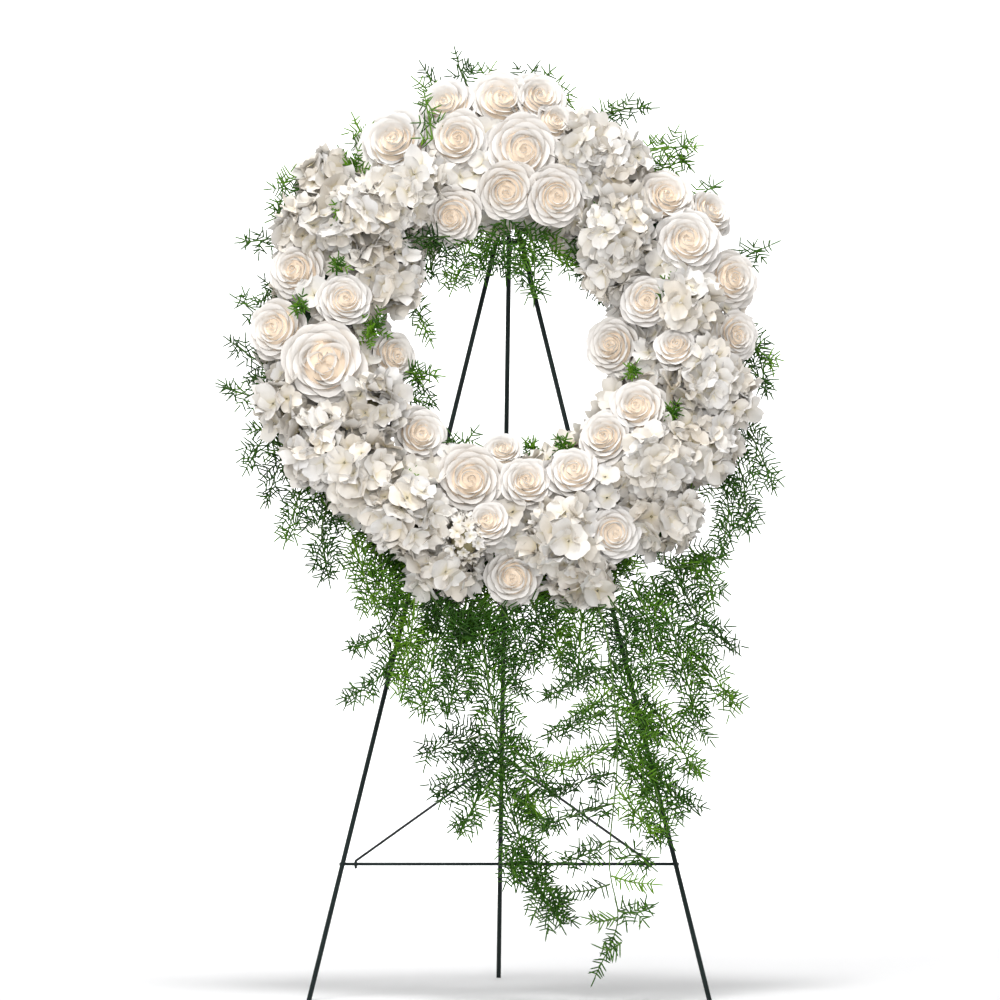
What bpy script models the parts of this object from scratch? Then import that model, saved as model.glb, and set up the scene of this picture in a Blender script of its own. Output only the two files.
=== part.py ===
"""A funeral wreath of ivory roses, white hydrangea and asparagus fern on a floral foam ring, hung on a
folding wire easel. Metres, +Z up, the front faces -Y."""

import math
import random

import bmesh
import bpy
from mathutils import Matrix, Vector

# Layout on the drawing sheet, whose unit is a small square of SHEET metres seen from the front
SHEET = 0.00124
SHEET_CENTRE_X = 509
SHEET_FLOOR_Y = 1000

# Easel
LEAN = math.radians(12)
LEG_RADIUS = 0.003
CROSSBAR_RADIUS = 0.002
BRACE_RADIUS = 0.00175
FOOT_HALF_SPAN = 0.2437
APEX_HEIGHT_ON_SLOPE = 1.033
HOOK_HEIGHT_ON_SLOPE = 1.0002
HOOK_BEND = 0.008
HOOK_REACH = 0.016
PIN_HEIGHT_ON_SLOPE = 0.965
UPPER_BAR_HEIGHT_ON_SLOPE = 0.685
LOWER_BAR_HEIGHT_ON_SLOPE = 0.169
BAR_END_PAST_LEG = 0.0045
REAR_LEG_ANGLE = math.radians(17)
REAR_FOOT_SIDE_SHIFT = -0.013
TOUCH_GAP = 0.0003
RUNNING_GAP = 0.0004
EYE_TURN = math.radians(262)
EYE_LEAD = 0.03
EYE_STEPS = 11
BRACE_RISE = math.radians(18)
BRACE_HALF_SPAN = 0.179
BRACE_SIDE_SHIFT = -0.009
BRACE_HOOK_TURN = math.radians(200)
BRACE_BEND_HALF_TURN = math.radians(68)
BRACE_BEND_GAP = 0.0005
BEND_STEPS = 6
ROUND_SIDES = 8
WIDEST_MITRE = 1.06
SHARP_ANGLE = math.radians(50)

# Ring that the flowers stand in
RING_U = -0.009
RING_V = 0.821
RING_RADIUS = 0.223
RING_SEGMENTS = 24
FOAM_RADIUS = 0.036
FOAM_FACETS = 6
FOAM_W = 0.030
FOAM_FLOOR_W = 0.0056
TRAY_BACK_W = LEG_RADIUS + TOUCH_GAP
TRAY_FLOOR_W = 0.0053
TRAY_RIM_W = 0.0068
TRAY_HALF_WIDTH = 0.0385
TRAY_WALL = 0.0018

# Flower heads: how far they stand from the foam's middle, and the room between them
FLOWER_SHELL = 0.093
SHELL_SHARE = 0.55
LEAST_FORWARD = 0.024
FLOWER_BACK_W = 0.030
FLOOR_GAP = 0.0008
FLOOR_GAP_INSIDE = 0.005
CELL_SHARES = (0.3, 0.7)
STEM_RADIUS = 0.0030
STEM_DEPTH = 0.014
STEM_IN_HEAD = 0.010
HOLE_PLAY = 0.0004
HOLE_MOUTH = 0.004
LARGE_ROSE = 0.0400
HEAD_FULLNESS = 1.16
CELL_GAP = 0.0003

# Rose petals: height and radius of root, middle and corner, then thickness, in shares of the head
ROSE_BUD = ((-0.96, 0.13), (-0.35, 0.34), (0.30, 0.34))
INNER_PETAL = ((-0.30, 0.05), (0.0, 0.50), (0.54, 0.56))
INNER_THICKNESS = 0.08
OUTER_PETAL = ((-0.60, 0.05), (-0.16, 0.72), (0.2, 0.95))
OUTER_THICKNESS = 0.07

# Florets: size, how much of a head they cover, and how high each part of one stands
FLORET_SIZE = 0.030
FLORET_SHARE = 0.62
FLORET_ROOM = 3.0
BUNCH_SPREAD = math.radians(78)
STOCK_FLORET = 0.0115
STOCK_SPREAD = math.radians(80)
FLORET_HEART = 0.90
FLORET_LOBES = ((-0.42, 1.0, 0.96), (0.42, 1.0, 1.0), (0.785, 0.55, 0.84))
GAP_HEIGHT = 0.72
GAP_REACH = 2.4
SUNFLOWER_TURN = 2.39996

# Fern
FERN_FRONT_W = 0.0275
FERN_BACK_W = 0.0060
FERN_STEM_RADIUS = 0.0012
NEEDLE_LENGTH = 0.018
WHORL_LENGTH = 0.0022
WHORL_STEP = 0.054
RUNNER_OFFSET = 0.047
RUNNER_W = 0.021
RUNNER_STEP = 0.05
RUNNER_FULLNESS = 1.3
ROUTE_STEP = 0.030
ROOT_SUNK = 0.012
ROOT_PLAY = 0.0009
TUFT_STEP = 0.006
TUFT_NEEDLE = 0.010
RING_CLEARANCE = 0.003
RING_FRONT_W = 0.070
HEAD_CLEARANCE = 0.001
STEM_CLEARANCE = 0.004
NEAR_ENOUGH = 0.06

# Roses: name, place and radius of the head on the sheet
ROSES = (
    ("rose_top_centre", 501, 97, 33),
    ("rose_top_right", 539, 97, 30),
    ("rose_top_left", 447, 103, 30),
    ("rose_crown_left", 457, 141, 27),
    ("rose_crown_centre", 522, 153, 36),
    ("rose_crown_right", 552, 122, 24),
    ("rose_inner_top", 508, 193, 29),
    ("rose_inner_top_right", 556, 199, 28),
    ("rose_inner_top_left", 453, 217, 28),
    ("rose_shoulder_left", 393, 143, 36),
    ("rose_shoulder_right", 667, 200, 27),
    ("rose_right_upper", 689, 247, 32),
    ("rose_right_outer", 711, 215, 22),
    ("rose_right_edge", 731, 282, 27),
    ("rose_right_inner", 647, 306, 25),
    ("rose_left_outer", 298, 275, 27),
    ("rose_left_upper", 344, 306, 25),
    ("rose_left_edge", 278, 335, 29),
    ("rose_left_open", 326, 370, 40),
    ("rose_left_inner", 391, 361, 25),
    ("rose_bottom_left", 470, 488, 33),
    ("rose_bottom_inner", 503, 458, 18),
    ("rose_bottom_centre", 527, 491, 25),
    ("rose_bottom_right", 573, 481, 24),
    ("rose_bottom_corner", 606, 446, 26),
    ("rose_right_lower", 638, 416, 26),
    ("rose_bottom_low", 489, 531, 20),
    ("rose_bottom_outer", 612, 540, 26),
    ("rose_bottom_edge", 514, 583, 28),
    ("rose_right_hollow", 615, 350, 27),
    ("rose_right_cup", 677, 356, 21),
    ("rose_right_low_edge", 735, 340, 22),
    ("rose_left_lower", 419, 442, 26),
)

# Hydrangeas: name, the heads joined in it, and the sprigs of fern that stand among its florets
HYDRANGEAS = (
    ("hydrangea_top_right", ((587, 150, 33), (622, 165, 25)), ()),
    ("hydrangea_right_inner", ((616, 235, 35), (614, 272, 24)), ((606, 250),)),
    ("hydrangea_top_left", ((407, 192, 38),), ()),
    ("hydrangea_left", ((324, 182, 25), (310, 235, 30), (368, 222, 33), (385, 275, 34)),
     ((348, 180), (340, 225), (337, 271))),
    ("hydrangea_right", ((686, 312, 25),), ((670, 293),)),
    ("hydrangea_right_low",
     ((700, 385, 34), (728, 402, 28), (655, 465, 34), (700, 450, 34), (660, 520, 34)), ((672, 420),)),
    ("hydrangea_bottom_right", ((560, 545, 34), (578, 582, 28)), ()),
    ("hydrangea_bottom_left",
     ((445, 570, 32), (410, 522, 38), (364, 480, 36), (325, 455, 34), (288, 410, 25)), ((413, 487),)),
    ("hydrangea_left_inner", ((373, 413, 27),), ()),
)
STOCK = ("stock_sprig", 466, 545, 22)

# Fern: name, root on the ring in degrees, side of the ring (1 outer, -1 inner), runner's end angles,
# and sprays as routes on the sheet with how far forward each point lies
FERNS = (
    ("fern_top", 96, 1, (72, 118), (
        ((455, 72, 18), (455, 55, 20), (452, 40, 22)),
        ((490, 70, 18), (494, 56, 20), (496, 46, 22)),
        ((540, 70, 18), (544, 54, 20), (548, 44, 22)),
        ((572, 78, 18), (580, 66, 20), (590, 58, 22)),
        ((412, 88, 18), (404, 74, 20), (398, 62, 22)),
        ((378, 104, 18), (362, 88, 18), (350, 80, 18)),
    )),
    ("fern_right", 30, 1, (-22, 58), (
        ((638, 116, 16), (658, 100, 18), (676, 92, 20)),
        ((672, 148, 16), (696, 138, 18), (716, 132, 20)),
        ((722, 200, 16), (744, 186, 18), (762, 178, 20)),
        ((752, 252, 16), (776, 242, 18), (794, 238, 20)),
        ((764, 330, 16), (782, 336, 20), (796, 346, 24)),
        ((762, 380, 16), (782, 392, 20), (794, 400, 24)),
        ((748, 440, 16), (768, 462, 22), (780, 488, 28)),
    )),
    ("fern_left", 176, 1, (140, 226), (
        ((284, 190, 16), (268, 176, 18), (254, 168, 20)),
        ((254, 248, 16), (236, 243, 18), (222, 242, 20)),
        ((242, 305, 16), (226, 306, 18), (214, 310, 20)),
        ((240, 352, 16), (224, 358, 20), (212, 366, 22)),
        ((240, 398, 16), (224, 402, 20), (212, 410, 24)),
        ((262, 446, 16), (246, 464, 22), (238, 482, 26)),
        ((286, 484, 16), (272, 500, 22), (262, 518, 26)),
        ((314, 518, 16), (300, 538, 22), (292, 556, 26)),
    )),
    ("fern_hole_top", 90, -1, (50, 128), (
        ((470, 232, 18), (462, 258, 20), (452, 286, 22)),
        ((500, 230, 18), (501, 262, 20), (502, 296, 22)),
        ((532, 232, 18), (534, 262, 20), (532, 294, 22)),
        ((566, 240, 18), (572, 262, 20), (574, 284, 22)),
        ((440, 246, 18), (432, 272, 20), (424, 300, 22)),
        ((592, 262, 18), (590, 282, 20), (584, 298, 22)),
    )),
    ("fern_hole_left", 184, -1, (168, 206), (
        ((394, 330, 18), (410, 336, 20), (424, 346, 22)),
        ((396, 390, 18), (412, 392, 20), (430, 396, 22)),
    )),
    ("fern_hole_low", 232, -1, (218, 252), (
        ((428, 436, 18), (440, 424, 20), (450, 412, 22)),
        ((470, 458, 18), (476, 446, 20), (480, 436, 22)),
    )),
    ("fern_trail_left", 262, 1, (228, 268), (
        ((360, 560, 18), (346, 600, 40), (338, 650, 44), (336, 704, 40)),
        ((392, 590, 18), (380, 628, 40), (374, 664, 44)),
        ((432, 604, 18), (424, 640, 46), (410, 690, 52)),
        ((470, 612, 18), (482, 650, 70), (498, 720, 98), (508, 800, 81), (530, 870, 63), (556, 928, 48)),
        ((503, 742, 94), (462, 752, 94), (424, 764, 92)),
        ((506, 776, 87), (548, 788, 87), (576, 812, 84)),
        ((508, 796, 82), (466, 806, 82), (432, 800, 82)),
        ((516, 826, 75), (480, 846, 74), (458, 838, 74)),
        ((530, 868, 63), (562, 862, 64), (586, 858, 66)),
        ((494, 700, 96), (470, 700, 96), (446, 716, 94)),
        ((476, 630, 45), (500, 650, 58), (520, 690, 72)),
    )),
    ("fern_trail_right", 282, 1, (274, 318), (
        ((548, 612, 18), (552, 642, 60), (548, 690, 100), (546, 730, 104)),
        ((594, 604, 18), (606, 650, 90), (612, 740, 138), (606, 840, 115), (606, 920, 94), (594, 974, 80)),
        ((610, 720, 136), (586, 728, 136), (562, 742, 136)),
        ((608, 784, 128), (586, 796, 128), (562, 806, 128)),
        ((606, 850, 112), (582, 858, 112), (560, 872, 112)),
        ((606, 866, 109), (628, 876, 109), (650, 884, 108)),
        ((612, 756, 134), (636, 788, 128), (652, 826, 120)),
        ((632, 588, 18), (646, 626, 60), (662, 690, 70), (682, 760, 66)),
        ((668, 566, 18), (690, 604, 44), (714, 650, 52), (734, 704, 50)),
        ((698, 540, 18), (718, 570, 36), (742, 612, 44), (752, 650, 44)),
    )),
)


def new_material(name, colour, roughness, metallic=0.0):
    material = bpy.data.materials.new(name)
    material.use_nodes = True
    shader = material.node_tree.nodes["Principled BSDF"]
    shader.inputs["Base Color"].default_value = (*colour, 1.0)
    shader.inputs["Roughness"].default_value = roughness
    shader.inputs["Metallic"].default_value = metallic
    return material


def slope_point(u, v, w):
    """World place of a point u to the right, v up the easel's slope and w in front of it."""
    return Vector((u, v * math.sin(LEAN) - w * math.cos(LEAN), v * math.cos(LEAN) + w * math.sin(LEAN)))


def slope_direction(u, v, w):
    return slope_point(u, v, w).normalized()


def sheet_point(across, down, w):
    """World place of a point on the sheet that lies w in front of the easel's slope."""
    u = (across - SHEET_CENTRE_X) * SHEET
    height = (SHEET_FLOOR_Y - down) * SHEET
    return slope_point(u, (height - w * math.sin(LEAN)) / math.cos(LEAN), w)


def slope_coordinates(point):
    """u, v and w of a world point."""
    v = point.y * math.sin(LEAN) + point.z * math.cos(LEAN)
    w = -point.y * math.cos(LEAN) + point.z * math.sin(LEAN)
    return point.x, v, w


def ring_point(angle, radius, w):
    return slope_point(RING_U + radius * math.cos(angle), RING_V + radius * math.sin(angle), w)


def ring_place(point):
    """Angle and radius about the ring's centre, and w, of a world point."""
    u, v, w = slope_coordinates(point)
    return math.atan2(v - RING_V, u - RING_U), math.hypot(u - RING_U, v - RING_V), w


def mesh_object(name, vertices, faces, material=None):
    mesh = bpy.data.meshes.new(name)
    mesh.from_pydata([tuple(v) for v in vertices], [], faces)
    mesh.validate()
    scratch = bmesh.new()
    scratch.from_mesh(mesh)
    bmesh.ops.recalc_face_normals(scratch, faces=scratch.faces)
    scratch.to_mesh(mesh)
    scratch.free()
    thing = bpy.data.objects.new(name, mesh)
    bpy.context.scene.collection.objects.link(thing)
    if material:
        mesh.materials.append(material)
    return thing


def tube(path, radius, sides, flat_foot=False):
    """Vertices and faces of a round bar along a path. A flat foot is cut level with the floor."""
    count = len(path)
    tangents = []
    for i in range(count):
        tangents.append((path[min(i + 1, count - 1)] - path[max(i - 1, 0)]).normalized())
    side = tangents[0].orthogonal().normalized()
    vertices = []
    for i, (point, tangent) in enumerate(zip(path, tangents)):
        side = (side - tangent * side.dot(tangent)).normalized()
        other = tangent.cross(side)
        bend = 1.0
        if 0 < i < count - 1:
            bend = 1.0 / max(0.5, (path[i + 1] - point).normalized().dot(tangent))
        for k in range(sides):
            turn = 2 * math.pi * k / sides
            out = side * math.cos(turn) + other * math.sin(turn)
            corner = point + out * radius * (bend if bend < WIDEST_MITRE else 1)
            if flat_foot and i == 0:
                corner -= tangent * (corner.z / tangent.z)
            vertices.append(corner)
    faces = [tuple(range(sides))[::-1], tuple((count - 1) * sides + k for k in range(sides))]
    for i in range(count - 1):
        for k in range(sides):
            a, b = i * sides + k, i * sides + (k + 1) % sides
            faces.append((a, b, b + sides, a + sides))
    return vertices, faces


def bar(name, path, radius, material, flat_foot=False):
    thing = mesh_object(name, *tube(path, radius, ROUND_SIDES, flat_foot), material)
    thing.data.shade_smooth()
    thing.data.set_sharp_from_angle(angle=SHARP_ANGLE)
    return thing


def arc(centre, first, second, radius, start, turn, steps):
    """Points of an arc about centre, in the plane of the unit vectors first and second."""
    angles = [start + turn * i / steps for i in range(steps + 1)]
    return [centre + (first * math.cos(a) + second * math.sin(a)) * radius for a in angles]


def leg_half_span(v):
    return FOOT_HALF_SPAN * (1 - v / APEX_HEIGHT_ON_SLOPE)


def front_leg(name, side, material):
    """One front leg: straight up the slope, its top bent forward as a hook under the ring."""
    foot = slope_point(side * leg_half_span(0), 0, 0)
    straight = HOOK_HEIGHT_ON_SLOPE - HOOK_BEND
    below = slope_point(side * leg_half_span(straight), straight, 0)
    u = side * leg_half_span(HOOK_HEIGHT_ON_SLOPE)
    corner = slope_point(u, HOOK_HEIGHT_ON_SLOPE - 0.3 * HOOK_BEND, 0.3 * HOOK_BEND)
    bent = slope_point(u, HOOK_HEIGHT_ON_SLOPE, HOOK_BEND)
    end = slope_point(u, HOOK_HEIGHT_ON_SLOPE, HOOK_REACH)
    return bar(name, [foot, below, corner, bent, end], LEG_RADIUS, material, True)


def crossbar(name, v, material):
    half = leg_half_span(v) + BAR_END_PAST_LEG
    w = -(LEG_RADIUS + CROSSBAR_RADIUS + TOUCH_GAP)
    return bar(name, [slope_point(-half, v, w), slope_point(half, v, w)], CROSSBAR_RADIUS, material)


def pin_centre():
    return slope_point(0, PIN_HEIGHT_ON_SLOPE, 0)


def hinge_pin(material):
    half = leg_half_span(PIN_HEIGHT_ON_SLOPE + LEG_RADIUS) - LEG_RADIUS * 1.04 - TOUCH_GAP
    centre = pin_centre()
    path = [centre - Vector((half, 0, 0)), centre + Vector((half, 0, 0))]
    return bar("hinge_pin", path, LEG_RADIUS, material)


def rear_leg_line():
    """Foot and top of the rear leg's straight part, which runs past the back of the pin."""
    down = Vector((0, math.sin(REAR_LEG_ANGLE), -math.cos(REAR_LEG_ANGLE)))
    back = Vector((0, math.cos(REAR_LEG_ANGLE), math.sin(REAR_LEG_ANGLE)))
    eye_radius = LEG_RADIUS * 2 + RUNNING_GAP
    top = pin_centre() + back * eye_radius
    foot = top + down * (top.z / math.cos(REAR_LEG_ANGLE))
    foot.x = REAR_FOOT_SIDE_SHIFT
    return foot, top, back, -down, eye_radius


def rear_leg(material):
    foot, top, back, up, eye_radius = rear_leg_line()
    eye = arc(pin_centre(), back, up, eye_radius, 0, EYE_TURN, EYE_STEPS)
    return bar("rear_leg", [foot, top - up * EYE_LEAD, *eye], LEG_RADIUS, material, True)


def lower_bar_centre():
    return slope_point(0, LOWER_BAR_HEIGHT_ON_SLOPE, -(LEG_RADIUS + CROSSBAR_RADIUS + TOUCH_GAP))


def brace(material):
    """The wire that holds the rear leg, from two hooks on the lower crossbar to a bend behind the leg."""
    along = Vector((0, math.cos(BRACE_RISE), math.sin(BRACE_RISE)))
    over = Vector((0, -math.sin(BRACE_RISE), math.cos(BRACE_RISE)))
    across = Vector((1, 0, 0))
    hook_radius = CROSSBAR_RADIUS + BRACE_RADIUS + RUNNING_GAP
    start = lower_bar_centre() + over * hook_radius
    foot, top, back, _, _ = rear_leg_line()
    reach = (top - start).dot(back) / along.dot(back)
    crossing = start + along * reach
    crossing.x = top.x + (foot.x - top.x) * (top.z - crossing.z) / (top.z - foot.z)
    bend_radius = LEG_RADIUS + BRACE_RADIUS + BRACE_BEND_GAP
    paths = []
    for side in (-1, 1):
        hub = lower_bar_centre() + across * (side * BRACE_HALF_SPAN + BRACE_SIDE_SHIFT)
        start_turn = math.pi / 2 + BRACE_HOOK_TURN
        paths.append(arc(hub, along, over, hook_radius, start_turn, -BRACE_HOOK_TURN, BEND_STEPS))
    turn = 2 * BRACE_BEND_HALF_TURN
    bend = arc(crossing, along, across, bend_radius, -BRACE_BEND_HALF_TURN, turn, BEND_STEPS)
    return bar("brace", [*paths[0], *bend, *reversed(paths[1])], BRACE_RADIUS, material)


def turned_ring(name, profile, material):
    """A ring of the given section, listed as radius and w, about the ring's centre."""
    vertices = []
    for i in range(RING_SEGMENTS):
        angle = 2 * math.pi * i / RING_SEGMENTS
        vertices += [ring_point(angle, radius, w) for radius, w in profile]
    count = len(profile)
    faces = []
    for i in range(RING_SEGMENTS):
        for k in range(count):
            a, b = i * count + k, i * count + (k + 1) % count
            shift = ((i + 1) % RING_SEGMENTS - i) * count
            faces.append((a, b, b + shift, a + shift))
    return mesh_object(name, vertices, faces, material)


def foam_ring(material):
    start = math.asin((FOAM_FLOOR_W - FOAM_W) / FOAM_RADIUS)
    turn = math.pi - 2 * start
    angles = [start + turn * i / FOAM_FACETS for i in range(FOAM_FACETS + 1)]
    profile = [
        (RING_RADIUS + FOAM_RADIUS * math.cos(angle), FOAM_W + FOAM_RADIUS * math.sin(angle))
        for angle in angles
    ]
    return turned_ring("foam_ring", profile, material)


def tray_ring(material):
    outer, inner = RING_RADIUS + TRAY_HALF_WIDTH, RING_RADIUS - TRAY_HALF_WIDTH
    profile = (
        (outer, TRAY_BACK_W),
        (outer, TRAY_RIM_W),
        (outer - TRAY_WALL, TRAY_RIM_W),
        (outer - TRAY_WALL, TRAY_FLOOR_W),
        (inner + TRAY_WALL, TRAY_FLOOR_W),
        (inner + TRAY_WALL, TRAY_RIM_W),
        (inner, TRAY_RIM_W),
        (inner, TRAY_BACK_W),
    )
    return turned_ring("tray_ring", profile, material)


class Head:
    """One flower head: a ball that holds it, its axis out of the foam, and the walls it keeps behind."""

    def __init__(self, node, across, down, radius):
        self.node = node
        self.radius = radius * SHEET * HEAD_FULLNESS
        place = sheet_point(across, down, FOAM_W)
        _, ring_radius, _ = ring_place(place)
        shell = FLOWER_SHELL - SHELL_SHARE * self.radius
        aside = ring_radius - RING_RADIUS
        forward = math.sqrt(max(shell * shell - aside * aside, LEAST_FORWARD ** 2))
        self.centre = sheet_point(across, down, FOAM_W + forward)
        angle, _, _ = ring_place(self.centre)
        self.hub = ring_point(angle, RING_RADIUS, FOAM_W)
        self.axis = (self.centre - self.hub).normalized()
        self.height = (self.centre - self.hub).length
        outward = (ring_point(angle, 1, 0) - ring_point(angle, 0, 0)).normalized()
        inward = max(0.0, -self.axis.dot(outward))
        self.floor = FOAM_RADIUS + FLOOR_GAP + FLOOR_GAP_INSIDE * inward
        front = slope_direction(0, 0, 1)
        self.walls = [
            (-self.axis, self.height - self.floor),
            (-front, slope_coordinates(self.centre)[2] - FLOWER_BACK_W),
        ]

    def keep_from_head(self, other):
        """Adds the wall between this head and another whose ball meets it."""
        between = other.centre - self.centre
        distance = between.length
        if distance >= self.radius + other.radius:
            return
        share = (distance ** 2 + self.radius ** 2 - other.radius ** 2) / (2 * distance)
        least, most = CELL_SHARES
        share = min(max(share, least * distance), most * distance)
        self.walls.append((between.normalized(), share - CELL_GAP))

    def keep_from_stem(self, other):
        """Adds the wall between this head and another head's stem that passes its ball."""
        start, end = other.hub + other.axis * FOAM_RADIUS, other.centre
        along = (end - start).normalized()
        reach = min(max((self.centre - start).dot(along), 0), (end - start).length)
        nearest = start + along * reach
        if (self.centre - nearest).length > self.radius + 1.5 * STEM_RADIUS:
            return
        aside = nearest - self.centre
        aside -= along * aside.dot(along)
        self.walls.append((aside.normalized(), aside.length - STEM_RADIUS - CELL_GAP))

    def fit(self, point):
        """Draws a point of the head's ball in along its ray, so that it stays behind the walls."""
        ray = point - self.centre
        if ray.length < 1e-9:
            return point
        direction = ray.normalized()
        reach = self.radius
        for normal, distance in self.walls:
            lean = direction.dot(normal)
            if lean > 1e-6:
                reach = min(reach, max(distance, 0.0005) / lean)
        return self.centre + ray * min(1.0, reach / self.radius)

    def axes(self):
        """Two directions square to the axis, the second as near up as it can be."""
        side = self.axis.cross(Vector((0, 0, 1))).normalized()
        return side, side.cross(self.axis).normalized()


def stem_mesh(head, low, high, radius):
    """A three-sided stem on the head's axis, from low to high above the ring's hub."""
    return tube([head.hub + head.axis * low, head.hub + head.axis * high], radius, 3)


def lens(outline, front, back):
    """A closed thin blade: a fan of faces on each side of one outline."""
    count = len(outline)
    faces = []
    for k in range(count):
        faces.append((k, (k + 1) % count, count))
        faces.append(((k + 1) % count, k, count + 1))
    return [*outline, front, back], faces


def core_mesh(head, levels, sides, twist=0.0):
    """A closed turned core on the head's axis. Levels are height and radius, in shares of the head."""
    side, up = head.axes()
    vertices = []
    for height, radius in levels:
        for k in range(sides):
            turn = twist + 2 * math.pi * k / sides
            out = side * math.cos(turn) + up * math.sin(turn)
            vertices.append(head.fit(head.centre + (head.axis * height + out * radius) * head.radius))
    count = len(levels)
    faces = [tuple(range(sides))[::-1], tuple((count - 1) * sides + k for k in range(sides))]
    for i in range(count - 1):
        for k in range(sides):
            a, b = i * sides + k, i * sides + (k + 1) % sides
            faces.append((a, b, b + sides, a + sides))
    return vertices, faces


def petal_mesh(head, turn, root, middle, corner, half_turns, thickness):
    """One rose petal round the head's axis. Root, middle and corner are height and radius."""
    side, up = head.axes()

    def at(place, swing):
        out = side * math.cos(turn + swing) + up * math.sin(turn + swing)
        return head.fit(head.centre + (head.axis * place[0] + out * place[1]) * head.radius)

    low, high = half_turns
    outline = [at(root, 0), at(middle, -low), at(corner, -high), at(corner, high), at(middle, low)]
    hollow = ((middle[0] + corner[0]) / 2, (middle[1] + corner[1]) / 2)
    front = at((hollow[0], hollow[1] - 0.02), 0)
    back = at((hollow[0] - thickness * 0.7, min(hollow[1] + thickness, 0.98)), 0)
    return lens(outline, front, back)


def join_meshes(name, shapes, material, solver):
    """One solid from closed shapes: a Boolean union of the rest, held in a collection, onto the first."""
    base = mesh_object(name, *shapes[0], material)
    others = bpy.data.collections.new(name + "_parts")
    for i, shape in enumerate(shapes[1:]):
        piece = mesh_object(f"{name}_part_{i}", *shape, material)
        bpy.context.scene.collection.objects.unlink(piece)
        others.objects.link(piece)
    bpy.context.scene.collection.children.link(others)
    union = base.modifiers.new("union", "BOOLEAN")
    union.operation = "UNION"
    union.operand_type = "COLLECTION"
    union.collection = others
    union.solver = solver
    apply_modifiers(base)
    for piece in list(others.objects):
        bpy.data.objects.remove(piece)
    bpy.data.collections.remove(others)
    keep_main_shell(base)
    return base


def apply_modifiers(thing):
    graph = bpy.context.evaluated_depsgraph_get()
    mesh = bpy.data.meshes.new_from_object(thing.evaluated_get(graph))
    thing.modifiers.clear()
    thing.data = mesh


def keep_main_shell(thing):
    """Keeps only the largest shell of a mesh, which fills sealed hollows and drops loose scraps."""
    shape = bmesh.new()
    shape.from_mesh(thing.data)
    left = set(shape.verts)
    shells = []
    while left:
        shell, edge = set(), [left.pop()]
        while edge:
            vertex = edge.pop()
            shell.add(vertex)
            for link in vertex.link_edges:
                far = link.other_vert(vertex)
                if far in left:
                    left.discard(far)
                    edge.append(far)
        shells.append(shell)
    shells.sort(key=len)
    for shell in shells[:-1]:
        bmesh.ops.delete(shape, geom=list(shell), context="VERTS")
    shape.to_mesh(thing.data)
    shape.free()


def rose(head, material, number):
    """A garden rose: a bud, petals wrapped round it and open ones below, fewer on a small head."""
    turn = number * 2.4
    inner, outer = (3, 5) if head.radius > LARGE_ROSE else (2, 4)
    shapes = [core_mesh(head, ROSE_BUD, 4, turn)]
    for k in range(inner):
        place = turn + k * 2 * math.pi / inner
        half_turns = (1.5 / inner, 2.3 / inner)
        shapes.append(petal_mesh(head, place, *INNER_PETAL, half_turns, INNER_THICKNESS))
    for k in range(outer):
        place = turn + 0.4 + k * 2 * math.pi / outer
        half_turns = (2.7 / outer, 2.1 / outer)
        shapes.append(petal_mesh(head, place, *OUTER_PETAL, half_turns, OUTER_THICKNESS))
    stem_top = max(head.floor + STEM_IN_HEAD, head.height - 0.5 * head.radius)
    shapes.append(stem_mesh(head, FOAM_RADIUS - STEM_DEPTH, stem_top, STEM_RADIUS))
    return join_meshes(head.node, shapes, material, "MANIFOLD")


def floret_points(head, direction, size, spin):
    """Points of one raised floret: its middle, two lobes for each of four petals, and the notches."""
    side = direction.orthogonal().normalized()
    up = direction.cross(side)
    spread = size / head.radius
    points = [(direction, FLORET_HEART)]
    for k in range(4):
        for swing, share, height in FLORET_LOBES:
            turn = spin + k * math.pi / 2 + swing
            out = side * math.cos(turn) + up * math.sin(turn)
            points.append(((direction + out * math.tan(spread * share)).normalized(), height))
    return points


def relief_mesh(head, florets, widest):
    """A head as one closed shell, with its florets raised from it and gaps sunk between them."""
    side, up = head.axes()
    points = []
    for direction, size, spin in florets:
        points += floret_points(head, direction, size, spin)
    ring = [(widest + 0.35, 0.78, 6), (math.radians(140), 0.66, 3)]
    for tilt, height, count in ring:
        for k in range(count):
            turn = 2 * math.pi * k / count
            out = side * math.cos(turn) + up * math.sin(turn)
            points.append((head.axis * math.cos(tilt) + out * math.sin(tilt), height))
    points.append((-head.axis, 0.8))
    size = florets[0][1] / head.radius
    for first, second in gap_pairs([direction for direction, _, _ in florets], GAP_REACH * size):
        points.append(((first + second).normalized(), GAP_HEIGHT))
    shell = bmesh.new()
    for direction, _ in points:
        shell.verts.new(direction)
    shell.verts.ensure_lookup_table()
    bmesh.ops.convex_hull(shell, input=shell.verts)
    bmesh.ops.triangulate(shell, faces=shell.faces)
    shell.verts.ensure_lookup_table()
    used = [v.index for v in shell.verts if v.link_faces]
    place = {old: new for new, old in enumerate(used)}
    vertices = []
    for old in used:
        direction, height = points[old]
        vertices.append(head.fit(head.centre + direction * height * head.radius * 0.998))
    faces = [tuple(place[v.index] for v in face.verts) for face in shell.faces]
    shell.free()
    return vertices, faces


def gap_pairs(directions, widest):
    """Pairs of neighbouring florets, between which the surface sinks."""
    found = []
    for i, first in enumerate(directions):
        for second in directions[i + 1:]:
            if first.angle(second) < widest and i % 4 == 0:
                found.append((first, second))
    return found


def held(head, point):
    """A point brought back inside the head's ball."""
    ray = point - head.centre
    return head.centre + ray * min(1.0, 0.995 * head.radius / ray.length) if ray.length > 1e-9 else point


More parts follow.
